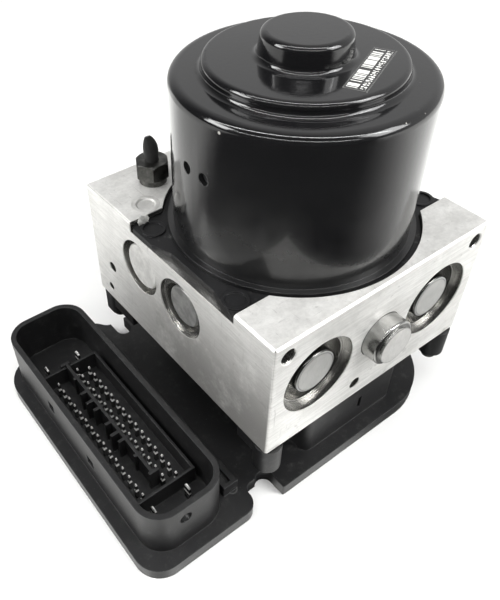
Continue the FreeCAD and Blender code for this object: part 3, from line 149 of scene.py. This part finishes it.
# Moulded plastic: colours, and the ejector marks on the flange
PLASTIC_TONES = ((0.008, 0.008, 0.0085), (0.035, 0.035, 0.034))
PLASTIC_WEAR = (0.05, 0.05, 0.048)
PLASTIC_SPECK = (0.20, 0.20, 0.19)
EJECTOR_TONE = (0.09, 0.09, 0.088)
EJECTOR_MARKS = (mm(-53.7, -32.8, 5.2), mm(-53.5, -37.4, 5.2))
EJECTOR_RADIUS = 1.7 * MM
EJECTOR_LINE = mm(0.1, 0.35)

# Clouded steels: dark and light tone, least and most roughness, metallic
PIT = (0.15, 0.15, 0.14)
GROUND_STEEL = ((0.42, 0.42, 0.41), (0.62, 0.62, 0.60), 0.22, 0.40, 1.0)
PALE_PLUG = ((0.55, 0.545, 0.525), (0.74, 0.735, 0.71), 0.35, 0.50, 0.4)
DARK_PLUG = ((0.20, 0.20, 0.195), (0.36, 0.36, 0.35), 0.30, 0.45, 0.5)
BLACK_ZINC = ((0.06, 0.06, 0.058), (0.16, 0.16, 0.15), 0.30, 0.50, 1.0)
COPPER_BARS = ((0.50, 0.25, 0.14), (0.75, 0.42, 0.26), 0.25, 0.40, 1.0)

# Drawn caps: tone of the face and of the wall, the wall's darker tone being painted shade, and where the
# face ends and the scribed ring lies, darkened as painted shade
SATIN_CAP = ((0.44, 0.44, 0.425), (0.15, 0.15, 0.145))
BRIGHT_CAP = ((0.62, 0.615, 0.595), (0.34, 0.34, 0.33))
CAP_FACE = mm(0.05, 0.25)
CAP_RING_SHARE = 0.80
CAP_RING_LINE = mm(0.08, 0.28)
CAP_RING_PAINTED_SHADE = (0.10, 0.10, 0.098)

# Black steel of the motor plate
BLACK_STEEL = (0.02, 0.02, 0.021)
RUBBED_STEEL = (0.22, 0.22, 0.21)

# Tin of the pins: its tones, the painted shade below, and the heights of the painted highlights at its tips
# and shoulders
TIN_TONES = ((0.85, 0.84, 0.81), (0.97, 0.97, 0.95))
TIN_PAINTED_SHADE = (0.10, 0.10, 0.098)
PIN_TIP_GLINT_Z = mm(14.4, 14.9)
PIN_SHOULDER_GLINT_Z = mm(11.4, 11.7, 12.3, 12.8)

# Dark and light tone of the other finishes
COPPER_WIRE = ((0.35, 0.12, 0.04), (0.75, 0.33, 0.14))
BOARD_GREEN = ((0.02, 0.09, 0.04), (0.03, 0.16, 0.07))
COATED_PIPE = ((0.012, 0.012, 0.012), (0.05, 0.05, 0.048))
FILLED_PLASTIC = ((0.50, 0.48, 0.42), (0.62, 0.60, 0.54))
COIL_MOULDING = ((0.03, 0.03, 0.03), (0.06, 0.06, 0.06))
FERRITE = ((0.04, 0.04, 0.042), (0.09, 0.09, 0.09))
CARBON = ((0.03, 0.03, 0.03), (0.07, 0.07, 0.07))
SEAL_RUBBER = ((0.015, 0.015, 0.015), (0.03, 0.03, 0.03))
FOIL = ((0.45, 0.45, 0.43), (0.75, 0.75, 0.72))

# Adhesive label on the can's step: size and place, and its bars and marks, each row's fades along its width;
# its pale edge is a painted highlight
LABEL_CENTRE = mm(7.0, -17.9, 131.1)
LABEL_SIZE = mm(27.2, 6.6, 0.1)
LABEL_CORNER = 0.9 * MM
LABEL_TURN = math.radians(25.2)
LABEL_MARGIN = mm(1.1, 1.0)
LABEL_EDGE = mm(0.3, 0.2)
LABEL_BAR = 0.42 * MM
LABEL_BAR_ROW = mm(-0.35, -0.30, 2.70, 2.80)
LABEL_MARK = 1.3 * MM
LABEL_MARK_ROW = mm(-2.50, -2.45, -0.95, -0.90)
LABEL_FILM = (0.30, 0.30, 0.29)
LABEL_INK = (0.88, 0.88, 0.85)
LABEL_EDGE_HIGHLIGHT_ALPHA = 0.35
LABEL_FILM_ALPHA = 0.06

# Torn foil on the motor plate: size and place, the height of its curl, and its waves across, up and sideways
SCRAP_SIZE = mm(3.6, 0.35, 3.6)
SCRAP_PLACE = mm(-42.0, 25.6, 77.75)
SCRAP_TURN = 0.15
SCRAP_CUTS = 5
SCRAP_CURL = 0.8 * MM
SCRAP_RIPPLE = 0.35
SCRAP_WAVES = (9.0, 4.0)
SCRAP_SIDEWAYS = 0.25
SCRAP_SIDE_WAVE = 11.0
SCRAP_SMOOTH = math.radians(40)


class Signal:
    """A socket of a node tree, with arithmetic that adds the nodes it needs."""

    def __init__(self, graph, socket):
        self.graph = graph
        self.socket = socket

    def math(self, operation, first, second=0.0):
        return self.graph.node("Math", {"operation": operation}, {0: first, 1: second})

    def __add__(self, other):
        return self.math("ADD", self, other)

    __radd__ = __add__

    def __sub__(self, other):
        return self.math("SUBTRACT", self, other)

    def __rsub__(self, other):
        return self.math("SUBTRACT", other, self)

    def __mul__(self, other):
        return self.math("MULTIPLY", self, other)

    __rmul__ = __mul__

    def size(self):
        return self.math("ABSOLUTE", self)

    def floor(self):
        return self.math("FLOOR", self)

    def fraction(self):
        return self.math("FRACT", self)

    def greater(self, other):
        """The greater of two signals."""
        return self.math("MAXIMUM", self, other)

    def above(self, low, high):
        """0 under low, 1 over high, smooth between them."""
        return self.graph.node("MapRange", {"interpolation_type": "SMOOTHSTEP"}, {0: self, 1: low, 2: high})

    def below(self, low, high):
        """1 under low, 0 over high, smooth between them."""
        return 1.0 - self.above(low, high)

    def band(self, rise, risen, fall, fallen):
        """1 from risen to fall, 0 under rise and over fallen."""
        return self.above(rise, risen) * self.below(fall, fallen)


class Graph:
    """The node tree of a material or of the world, built from expressions."""

    def __init__(self, owner):
        owner.use_nodes = True
        self.tree = owner.node_tree
        self.tree.nodes.clear()

    def node(self, kind, settings=None, inputs=None, output=0):
        made = self.tree.nodes.new("ShaderNode" + kind)
        for key, value in (settings or {}).items():
            setattr(made, key, value)
        for key, value in (inputs or {}).items():
            if isinstance(value, Signal):
                self.tree.links.new(value.socket, made.inputs[key])
            else:
                made.inputs[key].default_value = value
        return Signal(self, made.outputs[output])

    def dot(self, first, second):
        return self.node("VectorMath", {"operation": "DOT_PRODUCT"}, {0: first, 1: second}, "Value")

    def length(self, vector):
        return self.node("VectorMath", {"operation": "LENGTH"}, {0: vector}, "Value")

    def ray(self, kind):
        """1 where a ray of this kind meets the surface, 0 for the others."""
        return self.node("LightPath", output="Is %s Ray" % kind)

    def between(self, mask, low, high):
        """low where the mask is 0, high where it is 1."""
        return self.node("MapRange", None, {0: mask, 3: low, 4: high})

    def connect(self, shader, output="OutputMaterial"):
        end = self.tree.nodes.new("ShaderNode" + output)
        self.tree.links.new(shader.socket, end.inputs["Surface"])


class Finish(Graph):
    """One procedural material, on object coordinates in metres."""

    def __init__(self, name):
        self.material = bpy.data.materials.new(name)
        super().__init__(self.material)
        self.place = self.node("TexCoord", output="Object")

    def axis(self, letter):
        return self.node("SeparateXYZ", None, {0: self.place}, letter)

    def axes(self):
        return [self.axis(letter) for letter in "XYZ"]

    def stretched(self, scale, turn=(0, 0, 0)):
        """The place, stretched and turned, for a grain that runs one way."""
        return self.node("Mapping", None, {"Vector": self.place, "Scale": scale, "Rotation": turn})

    def noise(self, scale, detail=3.0, rough=0.55, place=None):
        """Cloudy pattern from 0 to 1, its scale in waves a metre."""
        inputs = {"Vector": place or self.place, "Scale": scale, "Detail": detail, "Roughness": rough}
        return self.node("TexNoise", None, inputs)

    def cells(self, scale):
        """Distance from the middle of the nearest cell, in cell widths."""
        return self.node("TexVoronoi", None, {"Vector": self.place, "Scale": scale}, "Distance")

    def thread(self, letter):
        """The turns of a thread along an axis."""
        settings = {"wave_type": "BANDS", "bands_direction": letter}
        return self.node("TexWave", settings, {"Vector": self.place, "Scale": THREAD_WAVE}, "Fac")

    def along(self, direction):
        return self.dot(self.place, direction)

    def distance(self, centre):
        return self.node("VectorMath", {"operation": "DISTANCE"}, {0: self.place, 1: centre}, "Value")

    def reach_from(self, node):
        """Distance from the axis, along Y, of a node or of its mirror image."""
        low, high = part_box(node)
        across = self.axis("X").size() - (low[0] + high[0]) / 2
        up = self.axis("Z") - (low[2] + high[2]) / 2
        return self.length(self.node("CombineXYZ", None, {0: across, 1: 0.0, 2: up}))

    def spot(self, centre, radius):
        """1 in a small ragged spot round a point, 0 beyond it."""
        ragged = self.distance(centre) + self.noise(900) * (radius * 0.8)
        return ragged.below(radius * 0.9, radius * 1.3)

    def ring(self, distance, radius, line):
        """1 on a circle of this radius, 0 away from it."""
        return (distance - radius).size().below(*line)

    def mix(self, mask, first, second):
        """The first colour where the mask is 0, the second where it is 1."""
        colours = [value if isinstance(value, Signal) else (*value, 1.0) for value in (first, second)]
        return self.node("Mix", {"data_type": "RGBA"}, {0: mask, 6: colours[0], 7: colours[1]}, 2)

    def bump(self, height, strength, depth, soft=None):
        """Small relief, over edges that are rounded by the radius soft where it is given."""
        inputs = {"Height": height, "Strength": strength, "Distance": depth}
        if soft:
            inputs["Normal"] = self.node("Bevel", {"samples": 6}, {"Radius": soft})
        return self.node("Bump", None, inputs)

    def shade(self, **sockets):
        """Ends the finish with its shader, each socket named in small letters."""
        inputs = {}
        for name, value in sockets.items():
            inputs[name.replace("_", " ").title().replace("Ior", "IOR")] = value
        self.connect(self.node("BsdfPrincipled", None, inputs))
        return self.material


# Finishes

def bores_of_block(f):
    """1 in the bores and recesses of the block, 0 on its outer faces."""
    x, y, z = f.axes()
    near, deep = SKIN
    back_near, back_deep = THIN_SKIN
    sides = x.size().below(BLOCK_HIGH[0] - deep, BLOCK_HIGH[0] - near)
    top = z.below(BLOCK_HIGH[2] - deep, BLOCK_HIGH[2] - near)
    front = y.above(BLOCK_LOW[1] + near, BLOCK_LOW[1] + deep)
    back = y.below(BLOCK_HIGH[1] - back_deep, BLOCK_HIGH[1] - back_near)
    return sides * top * front * back


def port_threads(f, bores):
    """The threads of the back and top ports."""
    _, y, z = f.axes()
    back_ports = bores * y.above(*BACK_PORT_Y) * z.band(*BACK_PORT_Z)
    top_ports = bores * z.above(*TOP_PORT_Z) * y.above(*TOP_PORT_Y)
    return back_ports * f.thread("Y") + top_ports * f.thread("Z")


def turned_recesses(f, bores):
    """Fine rings round the two accumulator caps."""
    reach = f.reach_from("accumulator_cap_right")
    rings = f.node("TexNoise", {"noise_dimensions": "1D"}, {"W": reach, "Scale": 2200.0, "Detail": 2.0})
    return rings * bores * f.axis("Y").below(*RECESS_Y)


def soil_and_shade_on_left(f):
    """Grime and painted shade on the block's left face, both heavier toward its foot and its front."""
    x, y, z = f.axes()
    near, deep = THIN_SKIN
    face = x.below(BLOCK_LOW[0] + near, BLOCK_LOW[0] + deep)
    return face * z.below(*SOIL_SHADE_Z) * y.below(*SOIL_SHADE_Y) * f.noise(34, 8, 0.75).above(0.22, 0.55)


def machined_aluminium():
    """Milled faces with streaks, stains, flecks and scratches, bores darkened as painted shade, soil with
    painted shade on the left face, turned recesses and threads.
    """
    f = Finish("machined_aluminium")
    bores = bores_of_block(f)
    turning = turned_recesses(f, bores)
    streaks = f.noise(60, 6, 0.6, f.stretched((1.0, 2.0, 22.0)))
    fine = f.noise(900, 3, 0.6, f.stretched((1.0, 1.0, 8.0)))
    blotches = f.noise(70, 5, 0.65)
    scratches = sum(f.noise(scale, 3, 0.6, f.stretched(stretch, turn)).above(*levels)
                    for scale, stretch, turn, levels in SCRATCHES)
    cloud = 0.55 * streaks + 0.25 * fine + 0.35 * blotches
    colour = f.mix(cloud.above(0.38, 0.78), ALUMINIUM_DULL, ALUMINIUM_BRIGHT)
    colour = f.mix(f.noise(26, 5, 0.7).above(0.50, 0.72) * 0.45, colour, STAIN)
    colour = f.mix(f.noise(420, 4, 0.7).above(0.62, 0.72) * 0.4, colour, FLECK)
    colour = f.mix(scratches * 0.35, colour, SCRATCH)
    # Soil with painted shade: the left face darker toward its foot and its front
    colour = f.mix(soil_and_shade_on_left(f) * 0.9, colour, SOIL_AND_SHADE)
    # Painted shade: the bores and recesses darkened
    colour = f.mix(bores * 0.75, colour, BORE_PAINTED_SHADE)
    colour = f.mix(turning.above(0.48, 0.62) * 0.5, colour, TURNED_BRIGHT)
    height = 0.6 * fine + 0.4 * streaks - 0.5 * scratches + 5.0 * port_threads(f, bores) + 0.8 * turning
    return f.shade(base_color=colour, metallic=f.between(bores, 0.5, 0.97),
                   roughness=f.between(streaks, 0.34, 0.56) - bores * 0.22,
                   normal=f.bump(height, 0.25, 0.25 * MM, soft=0.2 * MM))


def black_gloss_paint():
    """Black stove paint with a dull film, dust, and chips down to the steel."""
    f = Finish("black_gloss_paint")
    z = f.axis("Z")
    haze = f.noise(45, 5, 0.6)
    dust = f.noise(2600, 3, 0.7).above(0.70, 0.78)
    film = f.noise(30, 6, 0.65).above(0.35, 0.70) * z.below(*FILM_Z)
    chips = f.noise(520, 4, 0.75).above(0.745, 0.77) + sum(f.spot(*chip) for chip in CAN_CHIPS)
    colour = f.mix(haze, *PAINT_TONES)
    colour = f.mix(film * 0.5, colour, PAINT_FILM)
    colour = f.mix(dust * 0.45, colour, PAINT_DUST)
    colour = f.mix(chips, colour, BARE_STEEL)
    dullness = dust * 0.2 + chips * 0.3 + film * 0.14 + z.below(*DULL_FOOT_Z) * 0.16
    relief = f.noise(700, 2, 0.4) - chips * 0.6
    return f.shade(base_color=colour, roughness=f.between(haze, 0.07, 0.15) + dullness,
                   normal=f.bump(relief, 0.10, 0.2 * MM, soft=0.4 * MM),
                   coat_weight=0.35, coat_roughness=0.08)


def moulded_plastic():
    """Black glass-filled plastic with dust, wear, pale specks and the rings of its ejector pins."""
    f = Finish("moulded_plastic")
    wear = f.noise(40, 4, 0.6)
    rings = sum(f.ring(f.distance(mark), EJECTOR_RADIUS, EJECTOR_LINE) for mark in EJECTOR_MARKS)
    colour = f.mix(f.noise(300, 6, 0.72).above(0.50, 0.80), *PLASTIC_TONES)
    colour = f.mix(wear.above(0.60, 0.80) * 0.3, colour, PLASTIC_WEAR)
    colour = f.mix(f.noise(1900, 2, 0.6).above(0.735, 0.76) * 0.7, colour, PLASTIC_SPECK)
    colour = f.mix(rings * 0.6, colour, EJECTOR_TONE)
    relief = f.noise(3800, 2, 0.5) + 4.0 * rings
    return f.shade(base_color=colour, roughness=f.between(wear, 0.34, 0.52),
                   normal=f.bump(relief, 0.22, 0.12 * MM, soft=0.4 * MM))


def worn_black_steel():
    """Blackened steel, rubbed pale in places."""
    f = Finish("worn_black_steel")
    grain = f.noise(1500, 4, 0.6)
    rub = f.noise(160, 5, 0.7).above(0.60, 0.72)
    return f.shade(base_color=f.mix(rub * 0.4, BLACK_STEEL, RUBBED_STEEL), metallic=0.5,
                   roughness=f.between(grain, 0.28, 0.5), normal=f.bump(grain, 0.2, 0.2 * MM, soft=0.3 * MM))


def clouded_steel(name, dark, light, smooth, rough, metallic):
    """Metal with soft clouds and small pits."""
    f = Finish(name)
    cloud = f.noise(220, 5, 0.65)
    pits = f.noise(1400, 3, 0.6).above(0.66, 0.74)
    colour = f.mix(cloud.above(0.35, 0.7), dark, light)
    relief = f.noise(2200, 3, 0.5) - 0.5 * pits
    return f.shade(base_color=f.mix(pits * 0.3, colour, PIT), metallic=metallic,
                   roughness=f.between(cloud, smooth, rough),
                   normal=f.bump(relief, 0.15, 0.15 * MM, soft=0.3 * MM))


def drawn_cap(name, node, face, wall):
    """Steel cap with a satin face, a scribed ring on it darkened as painted shade, and a polished wall given
    a darker tone as painted shade.
    """
    f = Finish(name)
    low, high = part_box(node)
    radius = (high[0] - low[0]) / 2
    front = f.axis("Y").below(low[1] + CAP_FACE[0], low[1] + CAP_FACE[1])
    cloud = f.noise(260, 5, 0.65)
    brushed = f.noise(500, 3, 0.6, f.stretched((12.0, 1.0, 1.0), (0, 0.6, 0)))
    ring = f.ring(f.reach_from(node), CAP_RING_SHARE * radius, CAP_RING_LINE) * front
    tone = f.between(0.5 * cloud + 0.5 * brushed, 0.55, 1.45)
    # Painted shade: the wall darker than the face
    colour = f.node("VectorMath", {"operation": "SCALE"}, {0: f.mix(front, wall, face), 3: tone})
    # Painted shade: the scribed ring darkened
    return f.shade(base_color=f.mix(ring * 0.7, colour, CAP_RING_PAINTED_SHADE), metallic=f.between(front, 1.0, 0.45),
                   roughness=f.between(front, 0.20, 0.40) + 0.08 * cloud,
                   normal=f.bump(brushed - ring, 0.1, 0.12 * MM, soft=0.2 * MM))


def tin_with_painted_glints():
    """Tin of the pins and contacts, with painted highlights at the tips and shoulders and painted shade
    lower down in the housing.
    """
    f = Finish("tin_with_painted_glints")
    cloud = f.noise(900, 3, 0.5)
    z = f.axis("Z")
    # Painted highlights at the pin tips and shoulders, painted shade elsewhere
    painted_glints = z.above(*PIN_TIP_GLINT_Z) + z.band(*PIN_SHOULDER_GLINT_Z)
    colour = f.mix(painted_glints, TIN_PAINTED_SHADE, f.mix(cloud, *TIN_TONES))
    return f.shade(base_color=colour, metallic=f.between(painted_glints, 0.9, 0.4),
                   roughness=f.between(cloud, 0.12, 0.3), normal=f.bump(cloud, 0.1, 0.1 * MM))


def enamelled_copper():
    """Turns of enamelled wire."""
    f = Finish("enamelled_copper")
    inputs = {"Vector": f.place, "Scale": 500.0, "Distortion": 2.0, "Detail": 2.0}
    wires = f.node("TexWave", {"wave_type": "BANDS", "bands_direction": "Z"}, inputs)
    return f.shade(base_color=f.mix(wires, *COPPER_WIRE), metallic=0.9, roughness=f.between(wires, 0.3, 0.5),
                   normal=f.bump(wires, 0.6, 0.4 * MM))


def board_lacquer():
    """Green lacquer over copper tracks."""
    f = Finish("board_lacquer")
    tracks = f.cells(260).above(0.25, 0.3)
    return f.shade(base_color=f.mix(tracks, *BOARD_GREEN), roughness=f.between(tracks, 0.25, 0.4),
                   normal=f.bump(tracks, 0.2, 0.1 * MM))


def matt_grain(name, dark, light):
    """Dull surface with a fine grain."""
    f = Finish(name)
    grain = f.noise(1200, 4, 0.6)
    return f.shade(base_color=f.mix(grain, dark, light), roughness=f.between(grain, 0.45, 0.7),
                   normal=f.bump(grain, 0.3, 0.2 * MM))


def printed_film():
    """Clear film with a pale edge, a painted highlight, a field of bars and a row of plain marks under it.
    """
    f = Finish("printed_film")
    cos, sin = math.cos(LABEL_TURN), math.sin(LABEL_TURN)
    x, y, _ = LABEL_CENTRE
    length = f.along((cos, sin, 0)) - (x * cos + y * sin)
    width = f.along((-sin, cos, 0)) - (y * cos - x * sin)
    half_length, half_width = LABEL_SIZE[0] / 2, LABEL_SIZE[1] / 2
    inner = length.size().below(half_length - LABEL_MARGIN[0], half_length - LABEL_MARGIN[1])
    column = (length * (1 / LABEL_BAR)).floor()
    bars = f.node("TexWhiteNoise", {"noise_dimensions": "1D"}, {"W": column}).above(0.30, 0.31)
    letter = (length * (1 / LABEL_MARK)).fraction()
    marks = letter.below(0.62, 0.7) * f.noise(1500, 1).above(0.44, 0.47)
    ink = bars * inner * width.band(*LABEL_BAR_ROW) + marks * inner * width.band(*LABEL_MARK_ROW)
    # Painted highlight: the pale edge of the film
    ends = length.size().above(half_length - LABEL_EDGE[0], half_length - LABEL_EDGE[1])
    sides = width.size().above(half_width - LABEL_EDGE[0], half_width - LABEL_EDGE[1])
    film = (ends + sides) * LABEL_EDGE_HIGHLIGHT_ALPHA + LABEL_FILM_ALPHA
    return f.shade(base_color=f.mix(ink, LABEL_FILM, LABEL_INK), roughness=0.2, alpha=ink.greater(film))


# Nodes and their finishes

def paint(names, material):
    for name in names:
        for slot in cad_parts[name].material_slots:
            slot.material = material


def both(name):
    return [name + "_left", name + "_right"]


def rows(name):
    return ["%s_%d" % (name, number) for number in range(1, 5)]


def dress_block():
    """The valve block with its caps, plugs, nut and pipe."""
    satin = drawn_cap("satin_cap", "accumulator_cap_right", *SATIN_CAP)
    paint(["valve_block"], machined_aluminium())
    paint(both("accumulator_cap"), satin)
    paint(["damper_cap"], drawn_cap("bright_cap", "damper_cap", *BRIGHT_CAP))
    paint(both("chamber_plug") + ["top_port_plug"], clouded_steel("pale_plug", *PALE_PLUG))
    paint(both("pump_plug"), clouded_steel("dark_plug", *DARK_PLUG))
    paint(["tube_nut", "housing_screws"], clouded_steel("black_zinc", *BLACK_ZINC))
    paint(["pipe_stub"], matt_grain("coated_pipe", *COATED_PIPE))
    paint(["block_seal"], matt_grain("seal_rubber", *SEAL_RUBBER))


def dress_motor():
    """The can, its plate and the motor inside."""
    paint(["motor_can"], black_gloss_paint())
    paint(["motor_end_plate"], worn_black_steel())
    paint(["motor_magnets"], matt_grain("ferrite", *FERRITE))
    paint(["motor_brushes"], matt_grain("carbon", *CARBON))
    paint(["armature_winding"], enamelled_copper())
    paint(["commutator"], clouded_steel("copper_bars", *COPPER_BARS))


def dress_housing():
    """The moulded housing with its board, coils and pins."""
    paint(["ecu_housing", "ecu_cover", "brush_plate"], moulded_plastic())
    paint(["circuit_board"], board_lacquer())
    paint(rows("inlet_coil") + rows("outlet_coil"), matt_grain("coil_moulding", *COIL_MOULDING))
    paint(["connector_pins", "connector_blades", "motor_contacts"], tin_with_painted_glints())


def dress_hydraulics():
    """Shaft, bearings, pistons, springs and valves, and the sleeves of the housing, in ground steel."""
    steel = clouded_steel("ground_steel", *GROUND_STEEL)
    paint(["motor_shaft", "armature_core", "eccentric_bearing", "upper_bearing", "lower_bearing"], steel)
    paint(both("pump_piston") + both("pump_liner") + both("pump_spring") + both("accumulator_spring"), steel)
    paint(rows("inlet_valve") + rows("outlet_valve") + ["housing_sleeves"], steel)
    paint(both("accumulator_piston"), matt_grain("filled_plastic", *FILLED_PLASTIC))


# Small pieces

def new_cube(name):
    """A unit cube in edit mode, alone in the selection."""
    bpy.ops.object.select_all(action="DESELECT")
    bpy.ops.mesh.primitive_cube_add(size=1.0)
    piece = bpy.context.object
    piece.name = name
    piece.data.name = name
    bpy.ops.object.mode_set(mode="EDIT")
    return piece


def set_down(turn, place):
    """Turns the selected mesh about Z, moves it to its place and leaves edit mode."""
    bpy.ops.transform.rotate(value=turn, orient_axis="Z", center_override=(0, 0, 0))
    bpy.ops.transform.translate(value=place)
    bpy.ops.object.mode_set(mode="OBJECT")


def label_film():
    """The adhesive label, a thin sheet with rounded corners."""
    film = new_cube("label_film")
    bpy.ops.transform.resize(value=LABEL_SIZE, center_override=(0, 0, 0))
    mesh = bmesh.from_edit_mesh(film.data)
    for edge in mesh.edges:
        start, end = (vertex.co for vertex in edge.verts)
        edge.select_set(abs(start.z - end.z) > LABEL_SIZE[2] / 2)
    bmesh.update_edit_mesh(film.data)
    bpy.ops.mesh.bevel(offset=LABEL_CORNER, segments=4, affect="EDGES")
    bpy.ops.mesh.select_all(action="SELECT")
    set_down(-LABEL_TURN, LABEL_CENTRE)
    film.data.materials.append(printed_film())
    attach(film, "module")


def sealing_scrap():
    """A torn tab of the sealing foil, left on the motor plate's rear ear."""
    scrap = new_cube("sealing_scrap")
    bpy.ops.mesh.subdivide(number_cuts=SCRAP_CUTS)
    bpy.ops.transform.resize(value=SCRAP_SIZE, center_override=(0, 0, 0))
    mesh = bmesh.from_edit_mesh(scrap.data)
    for vertex in mesh.verts:
        across, rise = vertex.co.x / SCRAP_SIZE[0], vertex.co.z / SCRAP_SIZE[2]
        ripple = SCRAP_RIPPLE * math.sin(SCRAP_WAVES[0] * across + SCRAP_WAVES[1] * rise)
        vertex.co.y += SCRAP_CURL * (rise * rise + ripple)
        vertex.co.x += SCRAP_CURL * SCRAP_SIDEWAYS * math.sin(SCRAP_SIDE_WAVE * rise)
    bmesh.update_edit_mesh(scrap.data)
    set_down(SCRAP_TURN, SCRAP_PLACE)
    bpy.ops.object.shade_smooth_by_angle(angle=SCRAP_SMOOTH)
    scrap.data.materials.append(matt_grain("foil", *FOIL))
    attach(scrap, "module")


# Studio and camera

def pale_floor():
    """Pale to the camera, white far away, and to polished surfaces dark with a few glowing bright patches,
    painted reflections.
    """
    bpy.ops.object.select_all(action="DESELECT")
    bpy.ops.mesh.primitive_plane_add(size=FLOOR_SIZE, location=(0, 0, 0))
    floor = bpy.context.object
    floor.name = "studio_floor"
    f = Finish("studio_floor")
    x, y, _ = f.axes()
    mirrored = f.ray("Glossy")
    far = f.length(f.place).above(*FLOOR_FADE) * f.ray("Camera")
    # Painted reflection: the floor dark in polished surfaces
    colour = f.mix(mirrored.greater(far), f.mix(f.noise(3, 2), *FLOOR_TONES), FLOOR_PAINTED_REFLECTION)
    left = x.band(*GLOW_LEFT[0]) * y.band(*GLOW_LEFT[1])
    front = x.band(*GLOW_FRONT[0]) * y.band(*GLOW_FRONT[1])
    behind = y.above(*GLOW_BEHIND)
    # Painted reflections: bright patches that glow for glossy rays only
    lit = f.along(BRIGHT_SIDE).above(*GLOW_SIDE) + left * 0.8 + front * 0.8 + behind * 0.7
    glow = lit.below(1.0, 2.0) * lit * mirrored + far * (1 / GLOW_LEVEL)
    f.shade(base_color=colour, roughness=0.9, specular_ior_level=0.1,
            emission_color=f.mix(glow, (0, 0, 0), FLOOR_WHITE), emission_strength=GLOW_LEVEL)
    floor.data.materials.append(f.material)


def white_world():
    """White to the camera, soft to matt surfaces, and to mirrors bright on one side only."""
    world = bpy.data.worlds.new("studio")
    bpy.context.scene.world = world
    w = Graph(world)
    side = w.dot(w.node("TexCoord", output="Generated"), BRIGHT_SIDE).above(*MIRRORED_FADE)
    mirrored = w.between(side, MIRRORED_DARK, MIRRORED_BRIGHT)
    level = w.between(w.ray("Glossy"), WORLD_LEVEL, mirrored)
    strength = w.between(w.ray("Camera").greater(w.ray("Transmission")), level, 1.0)
    background = w.node("Background", None, {"Color": (1, 1, 1, 1), "Strength": strength})
    w.connect(background, "OutputWorld")


def softbox(name, place, target, size, power, across):
    """A rectangular lamp at a place, facing a point, its length along the direction across or level."""
    light = bpy.data.lights.new(name, "AREA")
    light.shape = "RECTANGLE"
    light.size, light.size_y = size
    light.energy = power
    lamp = bpy.data.objects.new(name, light)
    aim = (Vector(place) - Vector(target)).normalized()
    width = (Vector(across) if across else Vector((0, 0, 1)).cross(aim)).normalized()
    turn = Matrix((width, aim.cross(width), aim)).transposed().to_4x4()
    lamp.matrix_world = Matrix.Translation(place) @ turn
    bpy.context.collection.objects.link(lamp)


def set_camera():
    """The camera of the photograph, with its principal point as a lens shift."""
    yaw, pitch, roll = CAMERA_YAW, CAMERA_PITCH, CAMERA_ROLL
    back = Vector((math.sin(yaw) * math.cos(pitch), -math.cos(yaw) * math.cos(pitch), math.sin(pitch)))
    level = Vector((math.cos(yaw), math.sin(yaw), 0))
    lift = back.cross(level)
    right = math.cos(roll) * level + math.sin(roll) * lift
    up = -math.sin(roll) * level + math.cos(roll) * lift
    data = bpy.data.cameras.new("photo_camera")
    data.sensor_width = SENSOR
    data.lens = FOCAL_PIXELS / PHOTO_HEIGHT * SENSOR
    data.shift_x = (PHOTO_WIDTH / 2 - CENTRE_X) / PHOTO_HEIGHT
    data.shift_y = (CENTRE_Y - PHOTO_HEIGHT / 2) / PHOTO_HEIGHT
    data.clip_start = CAMERA_NEAR
    camera = bpy.data.objects.new("photo_camera", data)
    turn = Matrix((right, up, back)).transposed().to_4x4()
    camera.matrix_world = Matrix.Translation(CAMERA_PLACE) @ turn
    bpy.context.collection.objects.link(camera)
    bpy.context.scene.camera = camera


dress_block()
dress_motor()
dress_housing()
dress_hydraulics()
label_film()
sealing_scrap()
pale_floor()
white_world()
for lamp_name, settings in LAMPS.items():
    softbox(lamp_name, *settings)
set_camera()

scene = bpy.context.scene
scene.view_settings.view_transform = "Standard"
